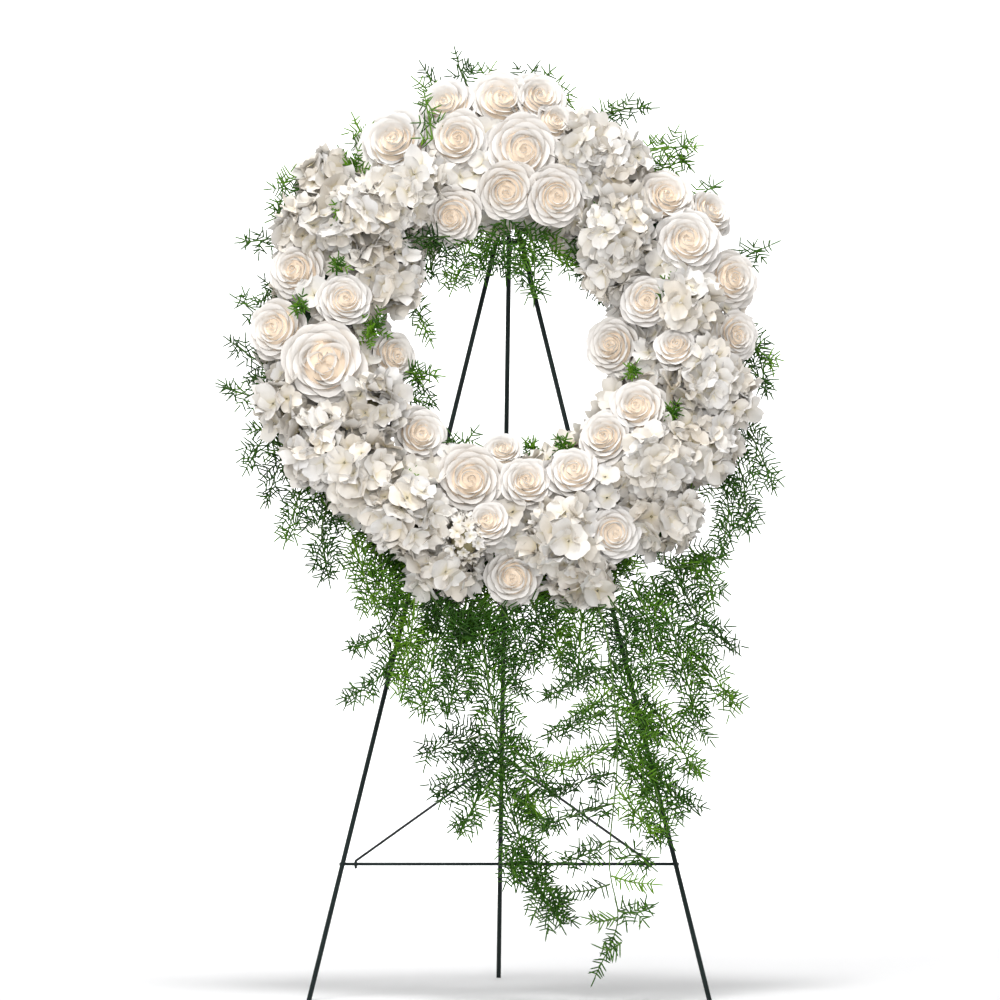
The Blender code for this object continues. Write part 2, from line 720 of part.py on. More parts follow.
def cap_directions(head, size, widest):
    """Directions spread evenly over the front of a head, in a sunflower pattern about its axis."""
    side, up = head.axes()
    share = (1 - math.cos(widest)) * 2 * math.pi * head.radius ** 2
    count = max(2, round(share / (FLORET_ROOM * size ** 2)))
    found = []
    for i in range(count):
        tilt = math.acos(1 - (1 - math.cos(widest)) * (i + 0.35) / count)
        turn = i * SUNFLOWER_TURN + head.radius * 900
        found.append(head.axis * math.cos(tilt)
                     + (side * math.cos(turn) + up * math.sin(turn)) * math.sin(tilt))
    return found


def sprig_mesh(path, step, rng, length, clear=None, first=0.0):
    """A slim three-sided stem along a path, with whorls of three needles raised from its own sides."""
    rings, whorls = stem_rings(path, step, first)
    vertices, faces = [], []
    for place, along, side, turn in rings:
        other = along.cross(side)
        for k in range(3):
            angle = turn + 2 * math.pi * k / 3
            vertices.append(place + (side * math.cos(angle) + other * math.sin(angle)) * FERN_STEM_RADIUS)
    last = (len(rings) - 1) * 3
    faces.append((2, 1, 0))
    for i in range(len(rings) - 1):
        for k in range(3):
            a, b = i * 3 + k, i * 3 + (k + 1) % 3
            corners = (a, b, b + 3, a + 3)
            middle = sum((vertices[c] for c in corners), Vector()) / 4
            out = (middle - (rings[i][0] + rings[i + 1][0]) / 2).normalized()
            aim = (out + rings[i][1] * rng.uniform(0.35, 0.7)).normalized()
            tip = middle + aim * length * rng.uniform(0.85, 1)
            if i in whorls and (clear is None or clear(middle, tip)):
                vertices.append(tip)
                faces += [(corners[j], corners[(j + 1) % 4], len(vertices) - 1) for j in range(4)]
            else:
                faces += [(a, b, a + 3), (b, b + 3, a + 3)]
    end = rings[-1][0] + rings[-1][1] * length * 0.5
    if clear is None or clear(rings[-1][0], end):
        vertices.append(end)
        faces += [(last + k, last + (k + 1) % 3, len(vertices) - 1) for k in range(3)]
    else:
        faces.append((last, last + 1, last + 2))
    return vertices, faces


def stem_rings(path, step, first):
    """Rings along a path, as place, direction, side and turn, and which stretches carry a whorl."""
    lengths = [0.0]
    for a, b in zip(path, path[1:]):
        lengths.append(lengths[-1] + (b - a).length)
    total = lengths[-1]
    count = max(1, int((total * (1 - first)) / step))
    stops = [0.0]
    whorls = set()
    for i in range(count):
        middle = total - (count - 1 - i) * step - WHORL_LENGTH
        if middle - WHORL_LENGTH / 2 > stops[-1] + 0.001:
            stops += [middle - WHORL_LENGTH / 2, middle + WHORL_LENGTH / 2]
            whorls.add(len(stops) - 2)
    if total - stops[-1] > 0.0003:
        stops.append(total)
    rings = []
    side = (path[1] - path[0]).orthogonal().normalized()
    for i, stop in enumerate(stops):
        k = max(j for j in range(len(path) - 1) if lengths[j] <= stop + 1e-9)
        share = (stop - lengths[k]) / (lengths[k + 1] - lengths[k])
        along = (path[k + 1] - path[k]).normalized()
        side = (side - along * side.dot(along)).normalized()
        rings.append((path[k].lerp(path[k + 1], min(share, 1)), along, side, (i + 1) // 2 * math.pi / 3))
    return rings, whorls


def hydrangea(name, heads, sprigs, material):
    """A bunch of mophead hydrangea: heads covered with raised florets, joined at their stalks."""
    shapes = []
    rng = random.Random(name)
    for head in heads:
        size = min(FLORET_SIZE, FLORET_SHARE * head.radius)
        directions = cap_directions(head, size, BUNCH_SPREAD)
        florets = [(direction, size, rng.uniform(0, 1.5)) for direction in directions]
        shapes.append(relief_mesh(head, florets, BUNCH_SPREAD))
        shapes.append(stem_mesh(head, FOAM_RADIUS - STEM_DEPTH, head.height - 0.3 * head.radius, STEM_RADIUS))
    for first, second in zip(heads, heads[1:]):
        shapes.append(tube([first.centre, second.centre], 1.4 * STEM_RADIUS, 3))
    for across, down in sprigs:
        shapes += tuft(head_behind(heads, across, down), across, down, rng)
    return join_meshes(name, shapes, material, "MANIFOLD")


def head_behind(heads, across, down):
    """The head that lies nearest to a place on the sheet."""
    def distance(head):
        return (sheet_point(across, down, slope_coordinates(head.centre)[2]) - head.centre).length

    return min(heads, key=distance)


def tuft(head, across, down, rng):
    """A short fern tip that stands out between a head's florets."""
    aim = sheet_point(across, down, slope_coordinates(head.centre)[2] + 0.6 * head.radius)
    direction = (aim - head.centre).normalized()
    path = [head.centre + direction * head.radius * share for share in (0.3, 0.985)]
    vertices, faces = sprig_mesh(path, TUFT_STEP, rng, TUFT_NEEDLE, first=0.55)
    return [([head.fit(held(head, v)) for v in vertices], faces)]


def stock(head, material):
    """A tip of stock: a slim head with small ruffled florets all over it."""
    directions = cap_directions(head, STOCK_FLORET, STOCK_SPREAD)
    florets = [(direction, STOCK_FLORET, i * 0.7) for i, direction in enumerate(directions)]
    shapes = [relief_mesh(head, florets, STOCK_SPREAD)]
    shapes.append(stem_mesh(head, FOAM_RADIUS - STEM_DEPTH, head.height - 0.3 * head.radius, STEM_RADIUS))
    return join_meshes(head.node, shapes, material, "MANIFOLD")


def smooth_route(points):
    """A smooth curve through the points, cut into even short stretches."""
    ends = [points[0] * 2 - points[1], *points, points[-1] * 2 - points[-2]]
    route = []
    for a, b, c, d in zip(ends, ends[1:], ends[2:], ends[3:]):
        count = max(1, round((c - b).length / ROUTE_STEP))
        for i in range(count):
            t = i / count
            route.append(0.5 * ((2 * b) + (c - a) * t + (2 * a - 5 * b + 4 * c - d) * t * t
                                + (3 * b - a - 3 * c + d) * t ** 3))
    return [*route, points[-1]]


def gap_between(a, b, c, d):
    """Smallest distance found between two short straight pieces, tried at a few points of each."""
    best = 1.0
    for i in range(4):
        p = a.lerp(b, i / 3)
        for k in range(4):
            best = min(best, (p - c.lerp(d, k / 3)).length)
    return best


class FernRoom:
    """What a fern keeps clear of: the flower heads, the ring and the ferns laid before it."""

    def __init__(self, heads):
        self.heads = heads
        self.laid = []

    def clear(self, root, tip):
        for point in (root.lerp(tip, 0.35), root.lerp(tip, 0.7), tip):
            u, v, w = slope_coordinates(point)
            radius = math.hypot(u - RING_U, v - RING_V)
            if w < FERN_BACK_W:
                return False
            if abs(radius - RING_RADIUS) < TRAY_HALF_WIDTH + RING_CLEARANCE and w < RING_FRONT_W:
                return False
            if w > FERN_FRONT_W and self.in_head(point):
                return False
        middle = root.lerp(tip, 0.5)
        near = [piece for piece in self.laid if (piece[2] - middle).length < NEAR_ENOUGH]
        return all(gap_between(root, tip, a, b) > STEM_CLEARANCE for a, b, _ in near)

    def in_head(self, point):
        return any((point - head.centre).length < head.radius + HEAD_CLEARANCE for head in self.heads)

    def lay(self, pieces):
        self.laid += [(a, b, a.lerp(b, 0.5)) for a, b in pieces]


def fern(name, root_angle, side, ends, sprays, room, material):
    """A branch of asparagus fern: a root in the foam, a runner beside the ring and sprays that leave it."""
    rng = random.Random(name)
    runner_radius = RING_RADIUS + side * RUNNER_OFFSET
    first, last = (math.radians(a) for a in ends)
    count = max(3, round(abs(last - first) * runner_radius / RUNNER_STEP))
    step = (last - first) / count
    runner = [ring_point(first + step * i, runner_radius, RUNNER_W) for i in range(count + 1)]
    root = math.radians(root_angle)
    inside = ring_point(root, RING_RADIUS + side * (FOAM_RADIUS - ROOT_SUNK), RUNNER_W)
    outside = ring_point(root, runner_radius + side * FERN_STEM_RADIUS, RUNNER_W)
    shapes = [
        tube(runner, FERN_STEM_RADIUS * RUNNER_FULLNESS, 3),
        tube([inside, outside], FERN_STEM_RADIUS, 3),
    ]
    pieces = list(zip(runner, runner[1:]))
    main_path = runner
    for spray in sprays:
        points = [sheet_point(across, down, forward / 1000) for across, down, forward in spray]
        if spray_leaves_runner(spray):
            main_path = smooth_route([nearest_on(runner, points[0]), *points])
            path = main_path
        else:
            path = smooth_route([nearest_on(main_path, points[0]), *points[1:]])
        shape = sprig_mesh(path, WHORL_STEP, rng, NEEDLE_LENGTH, room.clear)
        shapes.append(shape)
        pieces += list(zip(path, path[1:]))
        pieces += needle_lines(shape)
    room.lay(pieces)
    return join_meshes(name, shapes, material, "MANIFOLD")


def nearest_on(route, point):
    """The point of a route that is nearest to another point."""
    best = route[0]
    for a, b in zip(route, route[1:]):
        share = min(max((point - a).dot(b - a) / (b - a).length_squared, 0), 1)
        found = a.lerp(b, share)
        if (found - point).length < (best - point).length:
            best = found
    return best


def needle_lines(shape):
    """The middle of each needle's root and its tip, from a sprig's faces."""
    vertices, faces = shape
    tips = {}
    for face in faces:
        tips.setdefault(face[-1], set()).update(face[:-1])
    lines = []
    for tip, roots in tips.items():
        if len(roots) == 4 and tip > max(roots):
            lines.append((sum((vertices[r] for r in roots), Vector()) / 4, vertices[tip]))
    return lines


def spray_leaves_runner(spray):
    """True for a spray that starts beside the ring, false for a side branch of the spray before it."""
    return spray[0][2] < 20


def root_hole(root_angle, side):
    """The plain hole in the foam that a fern's root stands in."""
    root = math.radians(root_angle)
    low = ring_point(root, RING_RADIUS + side * (FOAM_RADIUS - ROOT_SUNK - 0.001), RUNNER_W)
    high = ring_point(root, RING_RADIUS + side * (FOAM_RADIUS + HOLE_MOUTH), RUNNER_W)
    return tube([low, high], FERN_STEM_RADIUS + ROOT_PLAY, 3)


def cut_holes(foam, shapes, material):
    """Cuts the stems' holes out of the foam, all in one go."""
    holes = bpy.data.collections.new("holes")
    bpy.context.scene.collection.children.link(holes)
    for i, shape in enumerate(shapes):
        piece = mesh_object(f"hole_{i}", *shape, material)
        bpy.context.scene.collection.objects.unlink(piece)
        holes.objects.link(piece)
    cut = foam.modifiers.new("holes", "BOOLEAN")
    cut.operation = "DIFFERENCE"
    cut.operand_type = "COLLECTION"
    cut.collection = holes
    cut.solver = "MANIFOLD"
    apply_modifiers(foam)
    for piece in list(holes.objects):
        bpy.data.objects.remove(piece)
    bpy.data.collections.remove(holes)


def part_heads(heads):
    """Gives each head its walls against the heads and stems of the other nodes."""
    for head in heads:
        for other in heads:
            if other.node != head.node:
                head.keep_from_head(other)
                head.keep_from_stem(other)


def settle_origin():
    """Moves everything so that the origin is on the floor, under the middle of the whole part."""
    bpy.context.view_layer.update()
    corners = [thing.matrix_world @ Vector(c) for thing in bpy.data.objects for c in thing.bound_box]
    shift = Vector((
        -(min(c.x for c in corners) + max(c.x for c in corners)) / 2,
        -(min(c.y for c in corners) + max(c.y for c in corners)) / 2,
        -min(c.z for c in corners),
    ))
    for thing in bpy.data.objects:
        thing.data.transform(Matrix.Translation(shift))
    set_pivot(bpy.data.objects["rear_leg"], pin_centre() + shift)
    set_pivot(bpy.data.objects["brace"], lower_bar_centre() + shift)


def set_pivot(thing, pivot):
    """Puts an object's own origin on its joint's axis without moving the object."""
    thing.data.transform(Matrix.Translation(-pivot))
    thing.location = pivot


def build_easel():
    wire = new_material("easel_paint", (0.010, 0.022, 0.020), 0.35, 0.2)
    front_leg("front_leg_left", -1, wire)
    front_leg("front_leg_right", 1, wire)
    crossbar("lower_crossbar", LOWER_BAR_HEIGHT_ON_SLOPE, wire)
    crossbar("upper_crossbar", UPPER_BAR_HEIGHT_ON_SLOPE, wire)
    hinge_pin(wire)
    rear_leg(wire)
    brace(wire)


def build_flowers():
    ivory = new_material("rose_petal", (0.86, 0.80, 0.70), 0.55)
    white = new_material("hydrangea_petal", (0.86, 0.86, 0.84), 0.6)
    cream = new_material("stock_petal", (0.84, 0.84, 0.80), 0.6)
    green = new_material("fern_green", (0.07, 0.16, 0.03), 0.5)
    foam_green = new_material("floral_foam", (0.05, 0.14, 0.06), 0.9)
    plastic = new_material("tray_plastic", (0.03, 0.08, 0.04), 0.5)

    roses = [Head(*rose_at) for rose_at in ROSES]
    bunches = []
    for name, places, sprigs in HYDRANGEAS:
        bunches.append((name, [Head(name, *place) for place in places], sprigs))
    spike = Head(*STOCK)
    heads = roses + [head for _, group, _ in bunches for head in group] + [spike]
    part_heads(heads)

    for number, head in enumerate(roses):
        rose(head, ivory, number)
    for name, group, sprigs in bunches:
        hydrangea(name, group, sprigs, white)
    stock(spike, cream)

    room = FernRoom(heads)
    for name, root_angle, side, ends, sprays in FERNS:
        fern(name, root_angle, side, ends, sprays, room, green)

    tray_ring(plastic)
    foam = foam_ring(foam_green)
    low, high = FOAM_RADIUS - STEM_DEPTH - HOLE_PLAY, FOAM_RADIUS + HOLE_MOUTH
    holes = [stem_mesh(head, low, high, STEM_RADIUS + HOLE_PLAY) for head in heads]
    holes += [root_hole(root_angle, side) for _, root_angle, side, _, _ in FERNS]
    cut_holes(foam, holes, foam_green)


def main():
    for thing in list(bpy.data.objects):
        bpy.data.objects.remove(thing)
    build_easel()
    build_flowers()
    settle_origin()


main()
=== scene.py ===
"""The looks of a funeral wreath on its wire easel: petals, florets, fern needles, paint, light and camera."""

import math
import random

import bpy
import numpy as np
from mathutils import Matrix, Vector


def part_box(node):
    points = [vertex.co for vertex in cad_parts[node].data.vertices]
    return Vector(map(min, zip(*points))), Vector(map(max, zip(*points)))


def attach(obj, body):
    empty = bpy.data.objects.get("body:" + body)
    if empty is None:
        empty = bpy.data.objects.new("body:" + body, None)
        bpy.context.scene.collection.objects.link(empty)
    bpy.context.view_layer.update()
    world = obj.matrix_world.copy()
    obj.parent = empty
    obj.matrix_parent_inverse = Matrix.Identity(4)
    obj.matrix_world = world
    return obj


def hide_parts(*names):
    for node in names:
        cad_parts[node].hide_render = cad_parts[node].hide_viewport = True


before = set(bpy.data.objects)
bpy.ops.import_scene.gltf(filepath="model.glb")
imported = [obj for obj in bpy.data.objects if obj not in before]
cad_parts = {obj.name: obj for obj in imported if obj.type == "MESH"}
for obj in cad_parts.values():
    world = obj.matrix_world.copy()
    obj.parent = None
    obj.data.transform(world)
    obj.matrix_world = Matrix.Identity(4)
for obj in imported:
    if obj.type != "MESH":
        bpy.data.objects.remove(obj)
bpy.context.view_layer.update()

# Layout on the drawing sheet, as in the part: SHEET metres to a small square, seen from the front
SHEET = 0.00124
SHEET_CENTRE_X = 509
SHEET_FLOOR_Y = 1000
LEAN = math.radians(12)
PIN_HEIGHT_ON_SLOPE = 0.965
RING_U = -0.009
RING_V = 0.821
RING_RADIUS = 0.223
FOAM_RADIUS = 0.036
FOAM_W = 0.030
FLOWER_SHELL = 0.093
FLOWER_BACK_W = 0.030
SHELL_SHARE = 0.55
LEAST_FORWARD = 0.024

# The turn between two petals or florets of a spiral, about 137.5 degrees
GOLDEN_TURN = 2.39996
# Random starts round a circle lie between 0 and this
WHOLE_TURN = 6.3

# Roses: place and radius of the head on the sheet, and how far it turns right and up from facing front
ROSES = {
    "rose_top_centre": (501, 97, 35, 0.0, 0.42),
    "rose_top_right": (539, 97, 31, 0.35, 0.45),
    "rose_top_left": (447, 103, 30, -0.35, 0.45),
    "rose_crown_left": (457, 141, 31, -0.1, 0.1),
    "rose_crown_centre": (522, 153, 38, 0.05, 0.0),
    "rose_crown_right": (552, 122, 26, 0.4, 0.35),
    "rose_inner_top": (508, 193, 31, 0.0, -0.3),
    "rose_inner_top_right": (556, 199, 30, 0.1, -0.15),
    "rose_inner_top_left": (453, 217, 29, -0.1, -0.25),
    "rose_shoulder_left": (393, 143, 38, -0.25, 0.35),
    "rose_shoulder_right": (667, 200, 30, 0.3, 0.4),
    "rose_right_upper": (689, 247, 34, 0.1, 0.2),
    "rose_right_outer": (711, 215, 25, 0.7, 0.5),
    "rose_right_edge": (731, 282, 29, 0.35, 0.1),
    "rose_right_inner": (647, 306, 26, -0.1, 0.0),
    "rose_left_outer": (298, 275, 29, -0.35, 0.1),
    "rose_left_upper": (344, 306, 27, 0.1, 0.15),
    "rose_left_edge": (278, 335, 30, -0.4, 0.1),
    "rose_left_open": (326, 370, 41, 0.0, 0.05),
    "rose_left_inner": (391, 361, 26, 0.6, 0.15),
    "rose_bottom_left": (470, 488, 35, 0.0, 0.1),
    "rose_bottom_inner": (503, 458, 20, 0.0, 0.55),
    "rose_bottom_centre": (527, 491, 26, 0.1, 0.35),
    "rose_bottom_right": (573, 481, 26, 0.0, 0.4),
    "rose_bottom_corner": (606, 446, 28, -0.3, 0.3),
    "rose_right_lower": (638, 416, 28, -0.2, 0.25),
    "rose_bottom_low": (489, 531, 21, -0.1, 0.3),
    "rose_bottom_outer": (612, 540, 28, 0.1, -0.05),
    "rose_bottom_edge": (514, 583, 29, 0.0, -0.15),
    "rose_right_hollow": (615, 350, 29, -0.5, 0.1),
    "rose_right_cup": (677, 356, 23, -0.2, 0.5),
    "rose_right_low_edge": (735, 340, 25, 0.5, 0.0),
    "rose_left_lower": (419, 442, 28, 0.35, 0.2),
}

# Hydrangea bunches: place and radius of each head on the sheet
HYDRANGEAS = {
    "hydrangea_top_right": ((587, 150, 33), (622, 165, 25)),
    "hydrangea_right_inner": ((616, 235, 35), (614, 272, 24)),
    "hydrangea_top_left": ((407, 192, 38),),
    "hydrangea_left": ((324, 182, 25), (310, 235, 30), (368, 222, 33), (385, 275, 34)),
    "hydrangea_right": ((686, 312, 25),),
    "hydrangea_right_low": ((700, 385, 34), (722, 402, 26), (655, 465, 34), (700, 450, 34), (660, 520, 34)),
    "hydrangea_bottom_right": ((560, 545, 34), (578, 582, 28)),
    "hydrangea_bottom_left": ((445, 570, 32), (410, 522, 38), (364, 480, 36), (325, 455, 34), (288, 410, 25)),
    "hydrangea_left_inner": ((373, 413, 27),),
}
# The sprig of stock: place and radius on the sheet
STOCK = (466, 545, 24)


def origin_shift():
    """How far the part's origin lies from the point under the easel's top, from the hinge pin's place."""
    low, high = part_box("hinge_pin")
    pin = Vector((0, PIN_HEIGHT_ON_SLOPE * math.sin(LEAN), PIN_HEIGHT_ON_SLOPE * math.cos(LEAN)))
    return (low + high) / 2 - pin


SHIFT = origin_shift()
SIN, COS = math.sin(LEAN), math.cos(LEAN)
UP_SLOPE = np.array([0, SIN, COS])
OFF_SLOPE = np.array([0, -COS, SIN])
RIGHT = np.array([1.0, 0, 0])
FRONT = np.array([0, -1.0, 0])


def slope_point(u, v, w):
    """Place of a point u to the right, v up the easel's slope and w in front of it."""
    return np.array(SHIFT) + RIGHT * u + UP_SLOPE * v + OFF_SLOPE * w


def slope_coordinates(points):
    """The u, v and w of a point or of many."""
    local = np.asarray(points) - np.array(SHIFT)
    return local @ RIGHT, local @ UP_SLOPE, local @ OFF_SLOPE


def sheet_point(across, down, w):
    """Place of a point on the sheet that lies w in front of the easel's slope."""
    height = (SHEET_FLOOR_Y - down) * SHEET
    return slope_point((across - SHEET_CENTRE_X) * SHEET, (height - w * SIN) / COS, w)


def ring_point(angle, radius, w):
    """Place at an angle and radius round the ring's middle, w in front of the slope."""
    return slope_point(RING_U + radius * math.cos(angle), RING_V + radius * math.sin(angle), w)


def unit(vector):
    """The vector at length one."""
    return vector / np.linalg.norm(vector)


def axes_of(axis):
    """Two directions square to an axis, the second as near up as it can be."""
    side = np.cross(axis, (0, 0, 1.0))
    if np.linalg.norm(side) < 1e-6:
        side = RIGHT
    side = unit(side)
    return side, np.cross(side, axis)


class Head:
    """A flower head: its centre, its radius, the foam's middle behind it and the way it stands out."""

    def __init__(self, across, down, radius):
        self.radius = radius * SHEET
        u, v, _ = slope_coordinates(sheet_point(across, down, FOAM_W))
        aside = math.hypot(u - RING_U, v - RING_V) - RING_RADIUS
        shell = FLOWER_SHELL - SHELL_SHARE * self.radius
        forward = math.sqrt(max(shell * shell - aside * aside, LEAST_FORWARD ** 2))
        self.centre = sheet_point(across, down, FOAM_W + forward)
        u, v, _ = slope_coordinates(self.centre)
        self.hub = ring_point(math.atan2(v - RING_V, u - RING_U), RING_RADIUS, FOAM_W)
        self.axis = unit(self.centre - self.hub)


class Pile:
    """The points, faces and marks of one piece. A mark is a point's depth and tint, for the material."""

    def __init__(self):
        self.points, self.marks, self.loops, self.sizes = [], [], [], []
        self.count = 0

    def add(self, points, faces, marks):
        """Add points, the faces over them, and a mark for each point or one for all."""
        points = np.asarray(points, float).reshape(-1, 3)
        faces = np.asarray(faces, int)
        self.points.append(points)
        self.marks.append(np.broadcast_to(np.asarray(marks, float), (len(points), 2)))
        self.loops.append((faces + self.count).ravel())
        self.sizes.append(np.full(len(faces), faces.shape[1]))
        self.count += len(points)

    def build(self, name, material):
        """The piece as a mesh object."""
        points, loops = np.concatenate(self.points), np.concatenate(self.loops)
        sizes, marks = np.concatenate(self.sizes), np.concatenate(self.marks)
        mesh = bpy.data.meshes.new(name)
        mesh.vertices.add(len(points))
        mesh.vertices.foreach_set("co", points.ravel())
        mesh.loops.add(len(loops))
        mesh.loops.foreach_set("vertex_index", loops)
        mesh.polygons.add(len(sizes))
        mesh.polygons.foreach_set("loop_start", np.concatenate(([0], np.cumsum(sizes)[:-1])))
        mesh.update(calc_edges=True)
        mesh.validate()
        for k, title in enumerate(("depth", "tint")):
            mesh.attributes.new(title, "FLOAT", "POINT").data.foreach_set("value", marks[:, k].copy())
        mesh.shade_smooth()
        mesh.materials.append(material)
        thing = bpy.data.objects.new(name, mesh)
        bpy.context.scene.collection.objects.link(thing)
        return thing


def grid_faces(rows, columns):
    """The four-sided faces of a grid of points."""
    index = np.arange(rows * columns).reshape(rows, columns)
    return np.stack([index[:-1, :-1], index[:-1, 1:], index[1:, 1:], index[1:, :-1]], -1).reshape(-1, 4)


def ease(value, low, high):
    """A smooth step from 0 at low to 1 at high."""
    t = np.clip((value - low) / (high - low), 0, 1)
    return t * t * (3 - 2 * t)


PETAL_ROWS, PETAL_COLUMNS = 9, 11
PETAL_FACES = grid_faces(PETAL_ROWS, PETAL_COLUMNS)
FILLING_ROWS, FILLING_COLUMNS = 8, 21
FILLING_FACES = grid_faces(FILLING_ROWS, FILLING_COLUMNS)
# The filling dome's deep mark colours it a darker tan: painted shade between the petals' rims.
FILLING_SHADE_DEPTH = 0.85
PETAL_TWIST = 0.085
HEART_SHIFT = 0.08
QUARTERED_HEART = 0.42
QUARTER_SHIFT = 0.20


def rim_radius(layer):
    """How far a petal's rim stands from the head's axis, the head's radius as unit."""
    return 0.05 + 0.88 * layer ** 0.92


def rim_height(layer):
    """How far a petal's rim stands before the head's middle."""
    return 0.60 + 0.06 * layer - 0.54 * layer ** 2


def rose_filling():
    """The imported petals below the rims, as one dome that shows only between them."""
    layers = np.linspace(0.0, 0.85, FILLING_ROWS)[:, None]
    turns = np.linspace(0, 2 * math.pi, FILLING_COLUMNS)[None, :]
    radius = np.maximum(rim_radius(layers) - 0.05, 0) + 0 * turns
    level = rim_height(layers) - 0.15 - 0.07 * layers + 0.015 * np.sin(3 * turns + 9 * layers)
    return np.stack([radius * np.cos(turns), radius * np.sin(turns), level], -1).reshape(-1, 3)


def rose_petal(layer, turn, half, twist, rng):
    """One petal in the head's own frame. Layer is 0 in the heart and 1 at the outside."""
    along = np.linspace(0, 1, PETAL_ROWS)[:, None]
    across = np.linspace(-1, 1, PETAL_COLUMNS)[None, :]
    open_ = ease(layer, 0.16, 0.70)
    top = 1 - 0.24 * np.abs(across) ** 2.4 + 0.05 * open_ * np.exp(-(across / 0.2) ** 2)
    q = along * top
    rim = rim_radius(layer)
    height = rim_height(layer) + rng.uniform(-0.03, 0.03)
    closed = 1 - ease(layer, 0.0, 0.22)
    flare = 0.050 * (1 - closed) + 0.07 * open_
    stops = np.array([
        (0.04, -0.45),
        (0.72 * rim + 0.03, -0.28 - 0.2 * layer),
        (rim * (1.04 - 0.14 * open_), height - 0.13 - 0.05 * open_),
        (rim * (1.0 - 0.55 * closed) + flare, height),
    ])
    weights = [(1 - q) ** 3, 3 * q * (1 - q) ** 2, 3 * q * q * (1 - q), q ** 3]
    rho = sum(w * s[0] for w, s in zip(weights, stops))
    level = sum(w * s[1] for w, s in zip(weights, stops))
    width = 0.35 + 0.65 * np.sin(np.clip(q / 0.72, 0, 1) * math.pi / 2)
    angle = turn + across * half * width
    lip = np.clip((q - 0.84) / 0.16, 0, 1)
    level = level - (0.015 + 0.06 * open_) * lip ** 2 - 0.05 * open_ * np.abs(across) ** 3 * q ** 2
    rho = rho * (1 + twist * across) + (0.015 + 0.045 * open_) * lip ** 2
    waves, phase = rng.uniform(2.5, 4.5), rng.uniform(0, WHOLE_TURN)
    rho = rho + 0.022 * np.sin(across * waves + phase) * q ** 3
    level = level + 0.030 * np.sin(across * (waves + 1) + phase * 2) * q ** 3 * (0.4 + layer)
    points = np.stack([rho * np.cos(angle), rho * np.sin(angle), level + 0 * angle], -1)
    # Warmer and darker low on each petal and in the heart: partly the petals' own cream base, partly painted
    # shade in the crevices between them.
    warm_and_shade = 0.14 * (1 - layer) ** 2 + 1.7 * np.clip(0.87 - q, 0, 1) * (1 - 0.45 * layer)
    warm_and_shade = np.clip(warm_and_shade, 0, 1) + 0 * angle
    return points.reshape(-1, 3), warm_and_shade.ravel()


def rose_head(pile, head, axis, rng, quartered):
    """A garden rose of 32 to 38 petals, in a spiral from a tight heart to open outer ones."""
    side, up = axes_of(axis)
    count = rng.randint(32, 38)
    start = rng.uniform(0, WHOLE_TURN)
    tint = rng.uniform(0, 1)
    twist = PETAL_TWIST * rng.choice((-1, 1))
    aside = np.array([rng.uniform(-HEART_SHIFT, HEART_SHIFT) for _ in range(2)])
    filling = head.centre + head.radius * (rose_filling() @ np.stack([side, up, axis]))
    # The dome takes the deep mark, a darker tan: painted shade between the rims.
    pile.add(filling, FILLING_FACES, (FILLING_SHADE_DEPTH, tint))
    for i in range(count):
        layer = ((i + 0.3) / count) ** 0.86
        half = (1.34 - 0.50 * layer) * rng.uniform(0.88, 1.12)
        points, warm_and_shade = rose_petal(layer, start + i * GOLDEN_TURN, half, twist, rng)
        points[:, :2] += aside * (1 - layer)
        if quartered and layer < QUARTERED_HEART:
            quarter = (i % 4) * math.pi / 2 + start
            points[:, :2] += QUARTER_SHIFT * np.array([math.cos(quarter), math.sin(quarter)])
        points[:, 2] += rng.uniform(-0.03, 0.03) - 0.10 * layer ** 3 * rng.random()
        world = head.centre + head.radius * (points @ np.stack([side, up, axis]))
        marks = np.stack([warm_and_shade, np.full(len(warm_and_shade), tint * 0.7 + 0.3 * rng.random())], -1)
        pile.add(world, PETAL_FACES, marks)


FLORET_ROWS, FLORET_COLUMNS = 6, 6
FLORET_FACES = grid_faces(FLORET_ROWS, FLORET_COLUMNS)
BEAD_FACES = np.array([(0, 1, 4), (1, 2, 4), (2, 3, 4), (3, 0, 4)])
BEAD_SHARE = 0.065
LUMP_ROWS, LUMP_COLUMNS = 7, 10
# Past the end of the ramp, so a lump takes its darkest colour: painted shade in the gaps between florets.
LUMP_SHADE_DEPTH = 1.6


